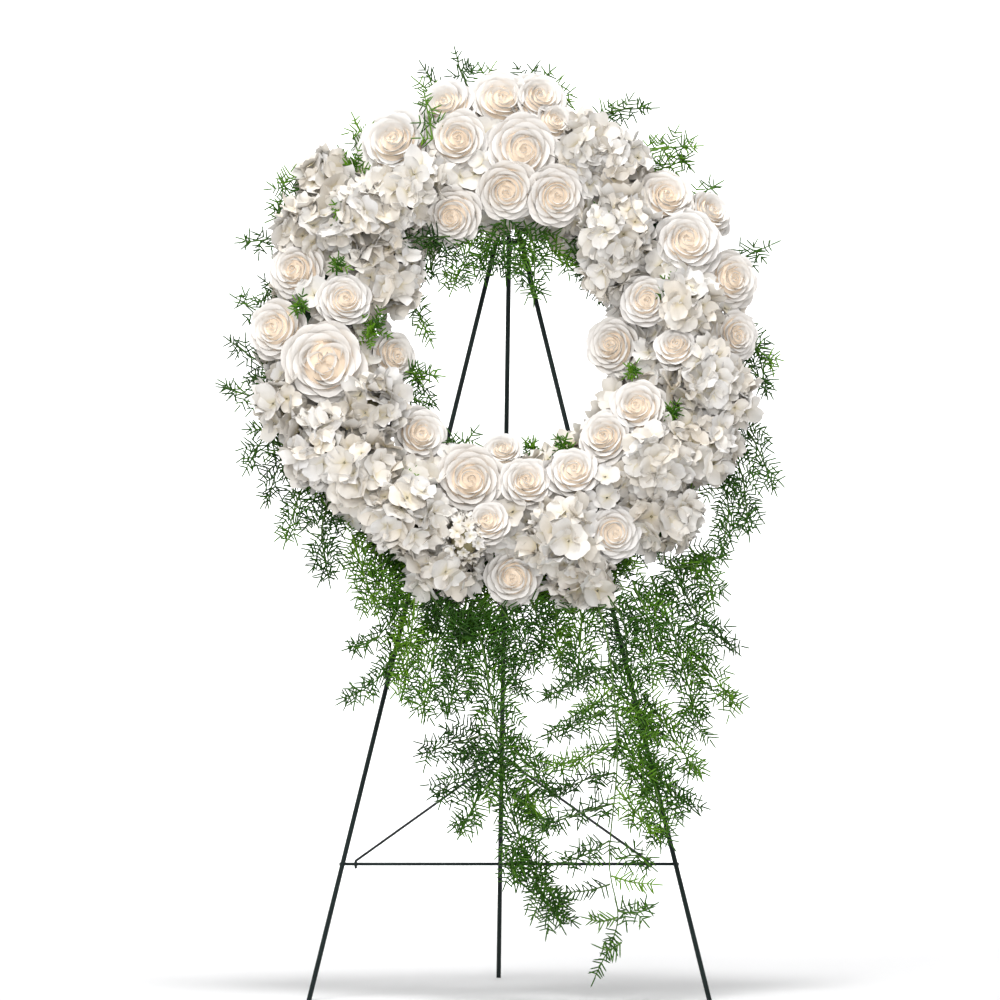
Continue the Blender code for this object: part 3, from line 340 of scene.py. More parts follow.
def floret(pile, centre, normal, size, rng, petals=4, ruffle=0.13):
    """A floret: broad rounded petals round a small bead."""
    side, up = axes_of(normal)
    spin = rng.uniform(0, WHOLE_TURN)
    tint = rng.random()
    reach = size / 2
    along = np.linspace(0.07, 1.03, FLORET_ROWS)[:, None]
    across = np.linspace(-1, 1, FLORET_COLUMNS)[None, :]
    for k in range(petals):
        turn = spin + 2 * math.pi * k / petals + rng.uniform(-0.14, 0.14)
        length = reach * rng.uniform(0.88, 1.08)
        broad = 2.35 / petals * rng.uniform(0.85, 1.15)
        half = broad * length * np.sqrt(np.clip(1 - ((along - 0.58) / 0.52) ** 2, 0.004, 1)) ** 0.75
        point = 1 + 0.05 * np.exp(-(across / 0.3) ** 2) * along ** 4
        x = along * length * point
        y = across * half
        bend = rng.uniform(-0.50, 0.60)
        wave = np.sin(across * rng.uniform(2.0, 4.0) + rng.uniform(0, WHOLE_TURN)) * ruffle * along
        cup = rng.uniform(0.05, 0.25) * across ** 2 * along
        z = length * (0.05 + 0.22 * along + bend * along ** 2 * 0.6 + cup + wave)
        z = z + (k % 2) * 0.05 * length
        out = side * math.cos(turn) + up * math.sin(turn)
        aside = up * math.cos(turn) - side * math.sin(turn)
        world = centre + x[..., None] * out + y[..., None] * aside + z[..., None] * normal
        marks = np.stack([np.clip(1 - along * 1.15, 0, 1) + 0 * across, np.full(x.shape, tint)], -1)
        pile.add(world, FLORET_FACES, marks.reshape(-1, 2))
    r = BEAD_SHARE * reach
    corners = [centre + r * (side * math.cos(a) + up * math.sin(a)) for a in (0, 1.57, 3.14, 4.71)]
    pile.add([*corners, centre + normal * r * 2.4], BEAD_FACES, (1.0, tint))


def spread_directions(axis, widest, count):
    """Directions spread evenly over a cap about an axis, in a sunflower pattern."""
    side, up = axes_of(axis)
    found = []
    for i in range(count):
        tilt = math.acos(1 - (1 - math.cos(widest)) * (i + 0.5) / count)
        turn = i * GOLDEN_TURN
        found.append(axis * math.cos(tilt) + (side * math.cos(turn) + up * math.sin(turn)) * math.sin(tilt))
    return found


def lump(pile, centre, radius, rng, tint):
    """The stalks in the middle of a bunch, seen only in the gaps between florets, given the ramp's darkest
    colour as painted shade in those gaps.
    """
    tilt = np.linspace(0.02, math.pi - 0.02, LUMP_ROWS)[:, None]
    turn = np.linspace(0, 2 * math.pi, LUMP_COLUMNS + 1)[None, :]
    rough = np.array([[rng.uniform(0.85, 1.1) for _ in range(LUMP_COLUMNS)] for _ in range(LUMP_ROWS)])
    rough = np.concatenate([rough, rough[:, :1]], 1)
    points = np.stack([np.sin(tilt) * np.cos(turn), np.sin(tilt) * np.sin(turn), np.cos(tilt) + 0 * turn], -1)
    faces = grid_faces(LUMP_ROWS, LUMP_COLUMNS + 1)
    pile.add(centre + radius * rough[..., None] * points, faces, (LUMP_SHADE_DEPTH, tint))


LEAST_FLORETS = 14
FLORET_ROOM = 0.0078
FLORET_CROWDING = 1.45
FLORET_SIZES = (0.030, 0.047)
HYDRANGEA_SPREAD = math.radians(112)


def hydrangea_head(pile, head, roses, rng, taken):
    """The florets of one mophead, left out where a rose stands."""
    axis = unit(0.6 * head.axis + 0.5 * FRONT)
    count = max(LEAST_FLORETS, round((head.radius / FLORET_ROOM) ** 2 * FLORET_CROWDING))
    for direction in spread_directions(axis, HYDRANGEA_SPREAD, count):
        direction = unit(direction + np.array([rng.uniform(-0.12, 0.12) for _ in range(3)]))
        centre = head.centre + direction * head.radius * rng.uniform(0.74, 0.98)
        if covers_rose(centre, roses) or slope_coordinates(centre)[2] < FLOWER_BACK_W:
            continue
        normal = unit(direction + np.array([rng.uniform(-0.75, 0.75) for _ in range(3)]))
        floret(pile, centre, normal, rng.uniform(*FLORET_SIZES), rng)
        taken.append(centre)
    lump(pile, head.centre - 0.25 * head.radius * axis, head.radius * 0.5, rng, 0.5)


FACE_MARGIN = 0.002
FACE_DEPTH = 0.3
ROSE_CORE = 0.86


def covers_rose(point, roses):
    """Whether a floret at the point would stand in a rose or before its face."""
    for rose in roses:
        across, back, up = point - rose.centre
        if math.hypot(across, up) < rose.radius + FACE_MARGIN and back < FACE_DEPTH * rose.radius:
            return True
        if np.linalg.norm(point - rose.centre) < ROSE_CORE * rose.radius:
            return True
    return False


BED_TRIES = 5000
BED_SPACING = 0.0158
# How far round the foam's section the bed reaches to each side of its front, in degrees
BED_HALF_TURN = 115
# How far from the middle of the foam's section its florets stand
BED_REACHES = (0.048, 0.069)
BED_BACK_W = FLOWER_BACK_W - 0.006
BED_SIZES = (0.032, 0.046)


def bed_florets(piles, centres, roses, rng, taken):
    """Florets that close the bed between the heads, each in the bunch that it lies nearest to."""
    for i in range(BED_TRIES):
        angle = i * GOLDEN_TURN
        tube = math.radians(rng.uniform(-BED_HALF_TURN, BED_HALF_TURN))
        reach = rng.uniform(*BED_REACHES)
        radius = RING_RADIUS + reach * math.sin(tube)
        w = FOAM_W + reach * math.cos(tube)
        if w < BED_BACK_W:
            continue
        centre = ring_point(angle, radius, w)
        if covers_rose(centre, roses):
            continue
        if any(np.linalg.norm(centre - other) < BED_SPACING for other in taken):
            continue
        hub = ring_point(angle, RING_RADIUS, FOAM_W)
        normal = unit(unit(centre - hub) + np.array([rng.uniform(-0.6, 0.6) for _ in range(3)]))
        name = min(centres, key=lambda n: min(np.linalg.norm(centre - c) for c in centres[n]))
        floret(piles[name], centre, normal, rng.uniform(*BED_SIZES), rng)
        taken.append(centre)


def tube_mesh(pile, path, radii, sides, marks):
    """A round stem along a path, its radius given at each point."""
    path = np.asarray(path, float)
    tangents = np.gradient(path, axis=0)
    tangents /= np.linalg.norm(tangents, axis=1)[:, None]
    side = axes_of(tangents[0])[0]
    rings = []
    for point, tangent, radius in zip(path, tangents, np.broadcast_to(radii, len(path))):
        side = unit(side - tangent * (side @ tangent))
        other = np.cross(tangent, side)
        turns = np.arange(sides) * 2 * math.pi / sides
        rings.append(point + radius * (np.cos(turns)[:, None] * side + np.sin(turns)[:, None] * other))
    index = np.arange(len(path) * sides).reshape(len(path), sides)
    nxt = np.roll(index, -1, axis=1)
    faces = np.stack([index[:-1], nxt[:-1], nxt[1:], index[1:]], -1).reshape(-1, 4)
    pile.add(np.concatenate(rings), faces, marks)


def smooth_route(points, step):
    """A smooth curve through the points, cut into even stretches."""
    points = [np.asarray(p, float) for p in points]
    ends = [2 * points[0] - points[1], *points, 2 * points[-1] - points[-2]]
    route = []
    for a, b, c, d in zip(ends, ends[1:], ends[2:], ends[3:]):
        count = max(2, round(np.linalg.norm(c - b) / step))
        for i in range(count):
            t = i / count
            route.append(0.5 * (2 * b + (c - a) * t + (2 * a - 5 * b + 4 * c - d) * t * t
                                + (3 * b - a - 3 * c + d) * t ** 3))
    return np.array([*route, points[-1]])


BRANCHLET_GAP = 0.0088
TRAIL_BRANCHLET_GAP = 0.0066
NEEDLE_GAP = 0.0050
NEEDLE_LENGTH = 0.0195
NEEDLE_RADIUS = 0.00108
NEEDLE_BELLY = 0.78
NEEDLE_TURNS = (0, 2.094, 4.189)
STEM_RADIUS, STEM_TIP_RADIUS = 0.0013, 0.0007
TWIG_RADIUS, TWIG_TIP_RADIUS = 0.00065, 0.00035
STEM_DEPTH, TWIG_DEPTH, NEEDLE_DEPTH, NEEDLE_TIP_DEPTH = 0.40, 0.75, 0.7, 0.5
SIDEWAYS = 0.45
SPRAY_DROOP = 0.25
ROUTE_STEP = 0.008
FEATHER_STEP = 0.009


class Fern:
    """One fern node's stems and needles."""

    def __init__(self, name):
        self.rng = random.Random(name)
        self.pile = Pile()
        self.roots, self.tips, self.tints = [], [], []

    def needle(self, root, tip, tint):
        """Keep one needle for build."""
        self.roots.append(root)
        self.tips.append(tip)
        self.tints.append(tint)

    def dress(self, path, first, needle, tint, bushy=0.5):
        """Needles to both sides of a branchlet's path, with now and then one to the front or back."""
        rng = self.rng
        lengths = np.concatenate(([0], np.cumsum(np.linalg.norm(np.diff(path, axis=0), axis=1))))
        total = lengths[-1]
        facing = unit(FRONT + np.array([rng.uniform(-SIDEWAYS, SIDEWAYS) for _ in range(3)]))
        place = total * first
        while place < total:
            k = min(max(int(np.searchsorted(lengths, place)) - 1, 0), len(path) - 2)
            share = (place - lengths[k]) / max(lengths[k + 1] - lengths[k], 1e-6)
            at = path[k] + (path[k + 1] - path[k]) * share
            ahead = unit(path[k + 1] - path[k])
            side = np.cross(ahead, facing)
            side = unit(side) if np.linalg.norm(side) > 0.2 else axes_of(ahead)[0]
            size = needle * (1 - 0.38 * (place / total) ** 2)
            for sign in (-1, 1):
                out = side * sign + facing * rng.uniform(-0.7, 0.7)
                tip = at + unit(out + ahead * rng.uniform(0.10, 1.05)) * size * rng.uniform(0.62, 1.12)
                self.needle(at, tip, tint + rng.uniform(-0.16, 0.16))
            if rng.random() < bushy:
                out = facing * rng.choice((-1, 1)) + side * rng.uniform(-0.9, 0.9)
                tip = at + unit(out + ahead * rng.uniform(0.3, 0.9)) * size * rng.uniform(0.7, 1.0)
                self.needle(at, tip, tint + rng.uniform(-0.16, 0.16))
            place += NEEDLE_GAP * rng.uniform(0.8, 1.25)
        self.needle(path[-1], path[-1] + unit(path[-1] - path[-2]) * needle * 0.7, tint)

    def feather(self, root, direction, length, droop=0.0, tint=None, needle=NEEDLE_LENGTH):
        """A branchlet with needles all along it."""
        rng = self.rng
        tint = rng.random() if tint is None else tint
        bow = np.array([rng.uniform(-0.12, 0.12) for _ in range(3)]) + np.array([0, 0, -droop])
        steps = max(3, round(length / FEATHER_STEP))
        path = [np.asarray(root, float)]
        heading = unit(direction)
        for _ in range(steps):
            heading = unit(heading + bow / steps * 2)
            path.append(path[-1] + heading * length / steps)
        path = np.array(path)
        radii = np.linspace(TWIG_RADIUS, TWIG_TIP_RADIUS, len(path))
        tube_mesh(self.pile, path, radii, 3, (TWIG_DEPTH, tint))
        self.dress(path, 0.06, needle, tint)

    def spray(self, route, feather, gap):
        """A stem along a route with branchlets to both sides that shorten towards its tip."""
        rng = self.rng
        path = smooth_route(route, ROUTE_STEP)
        tint = rng.random()
        radii = np.linspace(STEM_RADIUS, STEM_TIP_RADIUS, len(path))
        tube_mesh(self.pile, path, radii, 5, (STEM_DEPTH, tint))
        if feather == 0:
            self.dress(path, 0.88, NEEDLE_LENGTH, tint)
            return
        if feather < SHORT_FEATHER:
            self.dress(path, 0.10, NEEDLE_LENGTH * 1.08, tint, 0.7)
            return
        self.dress(path, 0.80, NEEDLE_LENGTH, tint)
        lengths = np.concatenate(([0], np.cumsum(np.linalg.norm(np.diff(path, axis=0), axis=1))))
        total = lengths[-1]
        place = gap
        number = 0
        while place < total - gap * 0.6:
            k = min(int(np.searchsorted(lengths, place)) - 1, len(path) - 2)
            ahead = unit(path[k + 1] - path[k])
            side = np.cross(ahead, FRONT)
            side = unit(side) if np.linalg.norm(side) > 0.2 else RIGHT
            sign = 1 if number % 2 else -1
            out = side * sign + FRONT * rng.uniform(-SIDEWAYS, SIDEWAYS)
            share = 1 - 0.55 * (place / total) ** 1.3
            length = feather * share * rng.uniform(0.65, 1.2)
            aim = unit(out) * 0.8 + ahead * rng.uniform(0.4, 0.9)
            self.feather(path[k], aim, length, SPRAY_DROOP, tint * 0.6 + 0.4 * rng.random())
            place += gap * rng.uniform(0.75, 1.3)
            number += 1

    def fringe(self, first, last, count, length, radius, w):
        """Branchlets that stand out of the ring's edge between two angles, and hang where they are low."""
        rng = self.rng
        for i in range(count):
            angle = math.radians(first + (last - first) * (i + rng.random()) / count)
            root = ring_point(angle, radius * rng.uniform(0.96, 1.02), w * rng.uniform(0.6, 1.5))
            out = ring_point(angle, 1.0, w) - ring_point(angle, 0.0, w)
            across = ring_point(angle + 0.01, 1.0, w) - ring_point(angle, 1.0, w)
            aim = unit(out) + unit(across) * rng.uniform(-0.9, 0.9) + FRONT * rng.uniform(-0.25, 0.15)
            self.feather(root, aim + np.array([0, 0, -0.25]), length * rng.uniform(0.6, 1.25), 0.35)

    def build(self, name, material):
        """The stems with every needle: a blunt three-sided spike from its root to its tip."""
        roots, tips = np.array(self.roots), np.array(self.tips)
        ahead = tips - roots
        ahead /= np.linalg.norm(ahead, axis=1)[:, None]
        side = np.cross(ahead, (0.31, 0.77, 0.56))
        side /= np.linalg.norm(side, axis=1)[:, None]
        other = np.cross(ahead, side)
        middle = roots * (1 - NEEDLE_BELLY) + tips * NEEDLE_BELLY
        around = [NEEDLE_RADIUS * (math.cos(turn) * side + math.sin(turn) * other) for turn in NEEDLE_TURNS]
        base = [roots + out for out in around]
        belly = [middle + 0.85 * out for out in around]
        count = len(roots)
        points = np.concatenate([*base, *belly, tips])
        i = np.arange(count)
        b, m, t = [i + count * k for k in range(3)], [i + count * (3 + k) for k in range(3)], i + count * 6
        quads = np.concatenate([np.stack([b[k], b[(k + 1) % 3], m[(k + 1) % 3], m[k]], -1) for k in range(3)])
        ends = np.concatenate([np.stack([m[k], m[(k + 1) % 3], t], -1) for k in range(3)])
        tints = np.tile(np.array(self.tints), 7)
        depth = np.concatenate([np.full(count * 6, NEEDLE_DEPTH), np.full(count, NEEDLE_TIP_DEPTH)])
        marks = np.stack([depth, tints], -1)
        start = self.pile.count
        self.pile.add(points, quads, marks)
        self.pile.loops.append((ends + start).ravel())
        self.pile.sizes.append(np.full(len(ends), 3))
        return self.pile.build(name, material)


# Sprays with shorter branchlets than this are single feathers
SHORT_FEATHER = 12.5 * SHEET

# Branchlets round the ring's edge: from and to angle, how many, length on the sheet, ring radius, forward
FRINGES = {
    "fern_trail_left": ((-156, -120, 26, 40, 0.268, 0.022), (-122, -90, 84, 50, 0.268, 0.028)),
    "fern_trail_right": ((-62, -34, 30, 42, 0.270, 0.024), (-92, -56, 98, 52, 0.268, 0.028)),
    "fern_left": ((118, 208, 34, 30, 0.275, 0.024),),
    "fern_right": ((-34, 58, 34, 30, 0.275, 0.024),),
    "fern_top": ((60, 116, 16, 24, 0.270, 0.022),),
}


def sheet_route(points):
    """A route's places, from sheet positions with how far forward they lie in mm."""
    return [sheet_point(across, down, forward / 1000) for across, down, forward in points]


# Fern sprays as routes on the sheet with how far forward each point lies in mm, then the length of the
# branchlets on the sheet
SPRAYS = {
    "fern_top": (
        (((470, 84, 30), (460, 62, 34), (455, 44, 36)), 20),
        (((444, 96, 30), (428, 84, 36), (416, 74, 40)), 20),
        (((432, 140, 100), (428, 118, 102), (424, 96, 98)), 16),
        (((482, 74, 30), (488, 64, 32), (492, 58, 32)), 13),
        (((522, 76, 30), (530, 66, 34), (536, 58, 36)), 16),
        (((536, 70, 24), (556, 74, 30), (572, 96, 34)), 13),
        (((366, 140, 40), (358, 126, 44), (352, 114, 46)), 18),
        (((440, 76, 22), (430, 70, 26), (422, 58, 28)), 12),
    ),
    "fern_right": (
        (((596, 112, 40), (620, 104, 44), (654, 102, 44)), 14),
        (((640, 150, 40), (664, 144, 44), (698, 142, 46)), 20),
        (((652, 168, 30), (678, 160, 36), (690, 152, 38)), 18),
        (((690, 196, 36), (706, 190, 40), (720, 182, 40)), 13),
        (((736, 262, 40), (754, 254, 42), (776, 244, 42)), 13),
        (((748, 330, 30), (760, 352, 34), (768, 396, 40)), 22),
        (((752, 350, 40), (770, 360, 44), (774, 372, 44)), 16),
        (((736, 420, 34), (756, 448, 40), (774, 494, 44)), 24),
        (((724, 440, 34), (742, 480, 44), (748, 540, 52)), 26),
        (((716, 470, 34), (728, 510, 44), (722, 556, 52)), 26),
    ),
    "fern_left": (
        (((300, 214, 60), (290, 198, 64), (278, 178, 62)), 24),
        (((296, 196, 40), (286, 210, 46), (270, 218, 46)), 20),
        (((276, 236, 40), (258, 240, 44), (240, 242, 44)), 14),
        (((284, 300, 40), (270, 288, 44), (262, 282, 44)), 14),
        (((272, 314, 36), (254, 312, 40), (234, 300, 40)), 16),
        (((262, 368, 36), (244, 356, 40), (228, 344, 40)), 16),
        (((284, 384, 34), (264, 380, 38), (248, 384, 40)), 18),
        (((280, 408, 34), (254, 402, 40), (222, 390, 42)), 15),
        (((280, 424, 30), (264, 440, 38), (246, 474, 44)), 20),
        (((294, 446, 30), (278, 472, 40), (268, 506, 46)), 24),
        (((308, 476, 30), (296, 510, 42), (286, 548, 50)), 26),
        (((330, 500, 30), (322, 540, 44), (330, 586, 52)), 30),
    ),
    "fern_hole_top": (
        (((505, 212, 86), (504, 240, 92), (506, 282, 88)), 26),
        (((480, 222, 70), (470, 248, 76), (452, 292, 70)), 26),
        (((524, 222, 72), (534, 250, 78), (534, 302, 70)), 26),
        (((545, 232, 60), (556, 256, 66), (572, 266, 64)), 24),
        (((566, 240, 50), (582, 262, 58), (600, 300, 56)), 20),
        (((574, 246, 46), (592, 270, 54), (610, 290, 52)), 20),
        (((462, 236, 60), (440, 250, 70), (424, 282, 66)), 24),
        (((450, 240, 96), (420, 242, 102), (384, 243, 102)), 14),
        (((494, 226, 60), (488, 252, 66), (478, 276, 62)), 22),
        (((516, 226, 60), (520, 252, 66), (522, 280, 62)), 22),
    ),
    "fern_hole_left": (
        (((408, 298, 50), (418, 316, 54), (430, 344, 52)), 13),
        (((406, 368, 50), (418, 386, 54), (434, 408, 52)), 16),
        (((404, 376, 56), (420, 378, 60), (436, 380, 60)), 14),
        (((402, 392, 50), (414, 402, 54), (424, 410, 52)), 15),
    ),
    "fern_hole_low": (
        (((462, 458, 70), (468, 446, 74), (474, 438, 74)), 13),
        (((454, 462, 60), (456, 450, 64), (452, 442, 64)), 12),
    ),
    "fern_trail_left": (
        (((352, 540, 30), (362, 572, 44), (378, 620, 50)), 30),
        (((380, 560, 30), (384, 590, 48), (392, 612, 56)), 28),
        (((408, 600, 40), (380, 642, 60), (352, 654, 64)), 14),
        (((402, 640, 40), (380, 684, 56), (346, 706, 60)), 15),
        (((416, 590, 40), (412, 640, 62), (404, 700, 70)), 30),
        (((440, 600, 40), (436, 650, 66), (424, 720, 76)), 32),
        (((466, 606, 44), (462, 650, 70), (450, 716, 84)), 30),
        (((470, 612, 40), (482, 650, 80), (494, 720, 100),
          (508, 800, 88), (530, 870, 72), (560, 926, 60)), 40),
        (((488, 738, 100), (462, 746, 100), (424, 758, 98)), 26),
        (((492, 752, 100), (462, 780, 98), (436, 798, 94)), 30),
        (((500, 772, 98), (476, 806, 92), (462, 834, 86)), 28),
        (((498, 744, 104), (528, 768, 102), (554, 800, 96)), 28),
        (((512, 800, 92), (534, 812, 90), (544, 832, 86)), 22),
        (((520, 836, 84), (512, 862, 80), (514, 884, 74)), 22),
        (((534, 872, 76), (548, 892, 72), (566, 906, 66)), 20),
        (((478, 610, 50), (500, 650, 70), (522, 700, 80)), 22),
        (((500, 612, 50), (516, 640, 66), (528, 672, 72)), 26),
        (((430, 600, 60), (446, 622, 70), (470, 640, 74)), 30),
    ),
    "fern_trail_right": (
        (((530, 606, 50), (540, 632, 66), (540, 660, 74)), 28),
        (((556, 604, 50), (556, 640, 70), (560, 672, 78)), 30),
        (((580, 600, 50), (580, 640, 76), (576, 690, 88)), 30),
        (((594, 604, 50), (606, 650, 100), (614, 756, 134),
          (606, 860, 112), (614, 920, 98), (592, 974, 84)), 0),
        (((606, 672, 110), (580, 684, 112), (544, 704, 110)), 15),
        (((610, 710, 128), (582, 726, 128), (544, 740, 126)), 16),
        (((613, 746, 134), (584, 760, 134), (550, 772, 132)), 15),
        (((612, 776, 130), (586, 782, 130), (552, 796, 128)), 14),
        (((610, 806, 124), (576, 816, 124), (538, 828, 122)), 14),
        (((606, 842, 114), (582, 856, 114), (556, 864, 112)), 14),
        (((607, 884, 106), (586, 890, 106), (562, 892, 104)), 10),
        (((608, 876, 108), (628, 882, 108), (648, 884, 106)), 12),
        (((614, 910, 100), (632, 912, 100), (646, 906, 98)), 13),
        (((614, 916, 98), (600, 920, 98), (588, 918, 96)), 12),
        (((618, 940, 94), (606, 948, 92), (598, 946, 90)), 10),
        (((612, 720, 130), (636, 756, 126), (654, 800, 118), (656, 846, 108)), 34),
        (((640, 700, 90), (668, 740, 88), (694, 778, 82)), 24),
        (((636, 760, 110), (664, 790, 106), (688, 812, 100)), 24),
        (((606, 660, 90), (630, 700, 94), (646, 740, 94)), 30),
        (((632, 588, 50), (646, 626, 70), (650, 690, 84)), 34),
        (((650, 582, 44), (672, 640, 62), (688, 700, 68), (700, 742, 66)), 32),
        (((668, 566, 40), (696, 620, 56), (732, 656, 58)), 24),
        (((676, 640, 56), (700, 670, 60), (734, 712, 58)), 24),
        (((664, 574, 40), (690, 572, 46), (724, 560, 46)), 16),
        (((688, 552, 34), (706, 576, 44), (712, 610, 48)), 24),
        (((606, 600, 56), (622, 630, 72), (626, 672, 84)), 34),
        (((612, 860, 112), (632, 856, 112), (646, 866, 108)), 14),
        (((614, 700, 122), (632, 716, 120), (650, 742, 114)), 18),
        (((614, 740, 132), (634, 766, 126), (644, 800, 120)), 20),
        (((612, 790, 128), (630, 812, 122), (650, 836, 114)), 20),
        (((612, 690, 116), (596, 706, 118), (570, 722, 116)), 16),
    ),
}

# Short tufts among the flowers: place and radius on the sheet
TUFTS = (
    (350, 165, 22), (343, 220, 16), (337, 271, 13), (670, 293, 14), (604, 222, 16),
    (606, 256, 16), (413, 487, 11), (372, 335, 27), (300, 312, 12), (531, 453, 12),
    (563, 452, 12), (632, 378, 9), (672, 420, 9),
)


def principled(name, roughness, bump_scale, bump_height):
    """A material with a Principled shader, object coordinates and a fine bump; returns its handles too."""
    material = bpy.data.materials.new(name)
    material.use_nodes = True
    tree = material.node_tree
    shader = tree.nodes["Principled BSDF"]
    shader.inputs["Roughness"].default_value = roughness
    where = tree.nodes.new("ShaderNodeTexCoord")
    noise = tree.nodes.new("ShaderNodeTexNoise")
    noise.inputs["Scale"].default_value = bump_scale
    noise.inputs["Detail"].default_value = 4
    tree.links.new(where.outputs["Object"], noise.inputs["Vector"])
    bump = tree.nodes.new("ShaderNodeBump")
    bump.inputs["Strength"].default_value = 0.5
    bump.inputs["Distance"].default_value = bump_height
    tree.links.new(noise.outputs["Fac"], bump.inputs["Height"])
    tree.links.new(bump.outputs["Normal"], shader.inputs["Normal"])
    return material, tree, shader, where


def mark(tree, title):
    """A number stored at the mesh's points."""
    node = tree.nodes.new("ShaderNodeAttribute")
    node.attribute_name = title
    return node.outputs["Fac"]


def ramp(tree, value, stops):
    """A colour for a value, between the stops."""
    node = tree.nodes.new("ShaderNodeValToRGB")
    while len(node.color_ramp.elements) < len(stops):
        node.color_ramp.elements.new(0.5)
    for element, (place, colour) in zip(node.color_ramp.elements, stops):
        element.position = place
        element.color = (*colour, 1)
    tree.links.new(value, node.inputs["Fac"])
    return node.outputs["Color"]


def mixed(tree, factor, first, second, kind="MIX"):
    """Two colours mixed or multiplied. Each input is a socket, a number or a colour."""
    node = tree.nodes.new("ShaderNodeMix")
    node.data_type = "RGBA"
    node.blend_type = kind
    for title, value in (("Factor", factor), ("A", first), ("B", second)):
        socket = node.inputs[title]
        if isinstance(value, (float, int)):
            socket.default_value = value
        elif isinstance(value, tuple):
            socket.default_value = (*value, 1)
        else:
            tree.links.new(value, socket)
    return node.outputs["Result"]


def veins(tree, where, scale):
    """A faint mottling in object coordinates."""
    noise = tree.nodes.new("ShaderNodeTexNoise")
    noise.inputs["Scale"].default_value = scale
    noise.inputs["Detail"].default_value = 3
    tree.links.new(where.outputs["Object"], noise.inputs["Vector"])
    return noise.outputs["Fac"]


def rose_material():
    """Cream petals that turn warmer and darker towards their feet, each with its own tint: the warmth partly
    their own colour, the darkening painted shade deep between the petals.
    """
    material, tree, shader, where = principled("rose_petals", 0.55, 420, 0.0004)
    # The deep end of this ramp is a darker tan: painted shade in the crevices, over the petals' own warmer
    # base.
    warm_and_shade = ramp(tree, mark(tree, "depth"), (
        (0.0, (0.845, 0.825, 0.805)),
        (0.25, (0.855, 0.825, 0.785)),
        (0.55, (0.87, 0.80, 0.71)),
        (1.0, (0.83, 0.66, 0.49)),
    ))
    cool = mixed(tree, mark(tree, "tint"), (1.0, 1.0, 1.0), (0.995, 0.972, 0.94))
    colour = mixed(tree, 1.0, warm_and_shade, cool, "MULTIPLY")
    mottle = ramp(tree, veins(tree, where, 90), ((0.3, (0.95, 0.95, 0.95)), (0.7, (1, 1, 1))))
    tree.links.new(mixed(tree, 1.0, colour, mottle, "MULTIPLY"), shader.inputs["Base Color"])
    shader.inputs["Sheen Weight"].default_value = 0.15
    return material


def hydrangea_material():
    """White petals with a greenish heart, and stalks between the florets darkened as painted shade in the
    gaps.
    """
    material, tree, shader, where = principled("hydrangea_petals", 0.6, 520, 0.0004)
    heart = ramp(tree, mark(tree, "depth"), (
        (0.0, (0.775, 0.76, 0.74)),
        (0.6, (0.74, 0.71, 0.66)),
        (0.9, (0.66, 0.60, 0.44)),
        # The last stop: the beads' own green, and painted shade on the lumps between florets.
        (1.0, (0.42, 0.38, 0.22)),
    ))
    tone = ramp(tree, mark(tree, "tint"), (
        (0.0, (0.98, 0.98, 0.99)),
        (0.5, (1.0, 0.985, 0.96)),
        (1.0, (1.0, 0.95, 0.875)),
    ))
    colour = mixed(tree, 1.0, heart, tone, "MULTIPLY")
    mottle = ramp(tree, veins(tree, where, 130), ((0.3, (0.94, 0.94, 0.93)), (0.7, (1, 1, 1))))
    tree.links.new(mixed(tree, 1.0, colour, mottle, "MULTIPLY"), shader.inputs["Base Color"])
    return material


def fern_material():
    """Green needles, each with its own tint, on paler stems."""
    material, tree, shader, _ = principled("fern_needles", 0.5, 700, 0.0002)
    tone = ramp(tree, mark(tree, "tint"), (
        (0.0, (0.010, 0.042, 0.003)),
        (0.5, (0.034, 0.115, 0.005)),
        (1.0, (0.135, 0.300, 0.012)),
    ))
    stem_share = ramp(tree, mark(tree, "depth"), ((0.3, (1, 1, 1)), (0.45, (0, 0, 0))))
    colour = mixed(tree, stem_share, tone, (0.14, 0.20, 0.06))
    tree.links.new(colour, shader.inputs["Base Color"])
    shader.inputs["Specular IOR Level"].default_value = 0.25
    return material


def paint_material():
    """The easel's dark green enamel, unevenly glossy."""
    material, tree, shader, where = principled("easel_enamel", 0.32, 900, 0.00012)
    cloud = ramp(tree, veins(tree, where, 30), ((0.3, (0.003, 0.008, 0.008)), (0.75, (0.007, 0.016, 0.015))))
    tree.links.new(cloud, shader.inputs["Base Color"])
    rough = tree.nodes.new("ShaderNodeMapRange")
    rough.inputs["To Min"].default_value = 0.35
    rough.inputs["To Max"].default_value = 0.55
    tree.links.new(veins(tree, where, 160), rough.inputs["Value"])
    tree.links.new(rough.outputs["Result"], shader.inputs["Roughness"])
    shader.inputs["Specular IOR Level"].default_value = 0.25
    return material


def foam_material():
    """Dull green floral foam."""
    material, tree, shader, where = principled("foam_cells", 0.95, 1500, 0.0012)
    cloud = ramp(tree, veins(tree, where, 60), ((0.3, (0.016, 0.050, 0.018)), (0.75, (0.035, 0.095, 0.035))))
    tree.links.new(cloud, shader.inputs["Base Color"])
    return material


def tray_material():
    """Dark green moulded plastic."""
    material, tree, shader, where = principled("moulded_tray", 0.45, 700, 0.0002)
    cloud = ramp(tree, veins(tree, where, 25), ((0.3, (0.010, 0.034, 0.014)), (0.75, (0.018, 0.050, 0.020))))
    tree.links.new(cloud, shader.inputs["Base Color"])
    return material


def place(thing, slot, node=None):
    """Hand a piece over: it rides the frame and may stand for a CAD node."""
    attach(thing, "frame")
    if node:
        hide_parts(node)


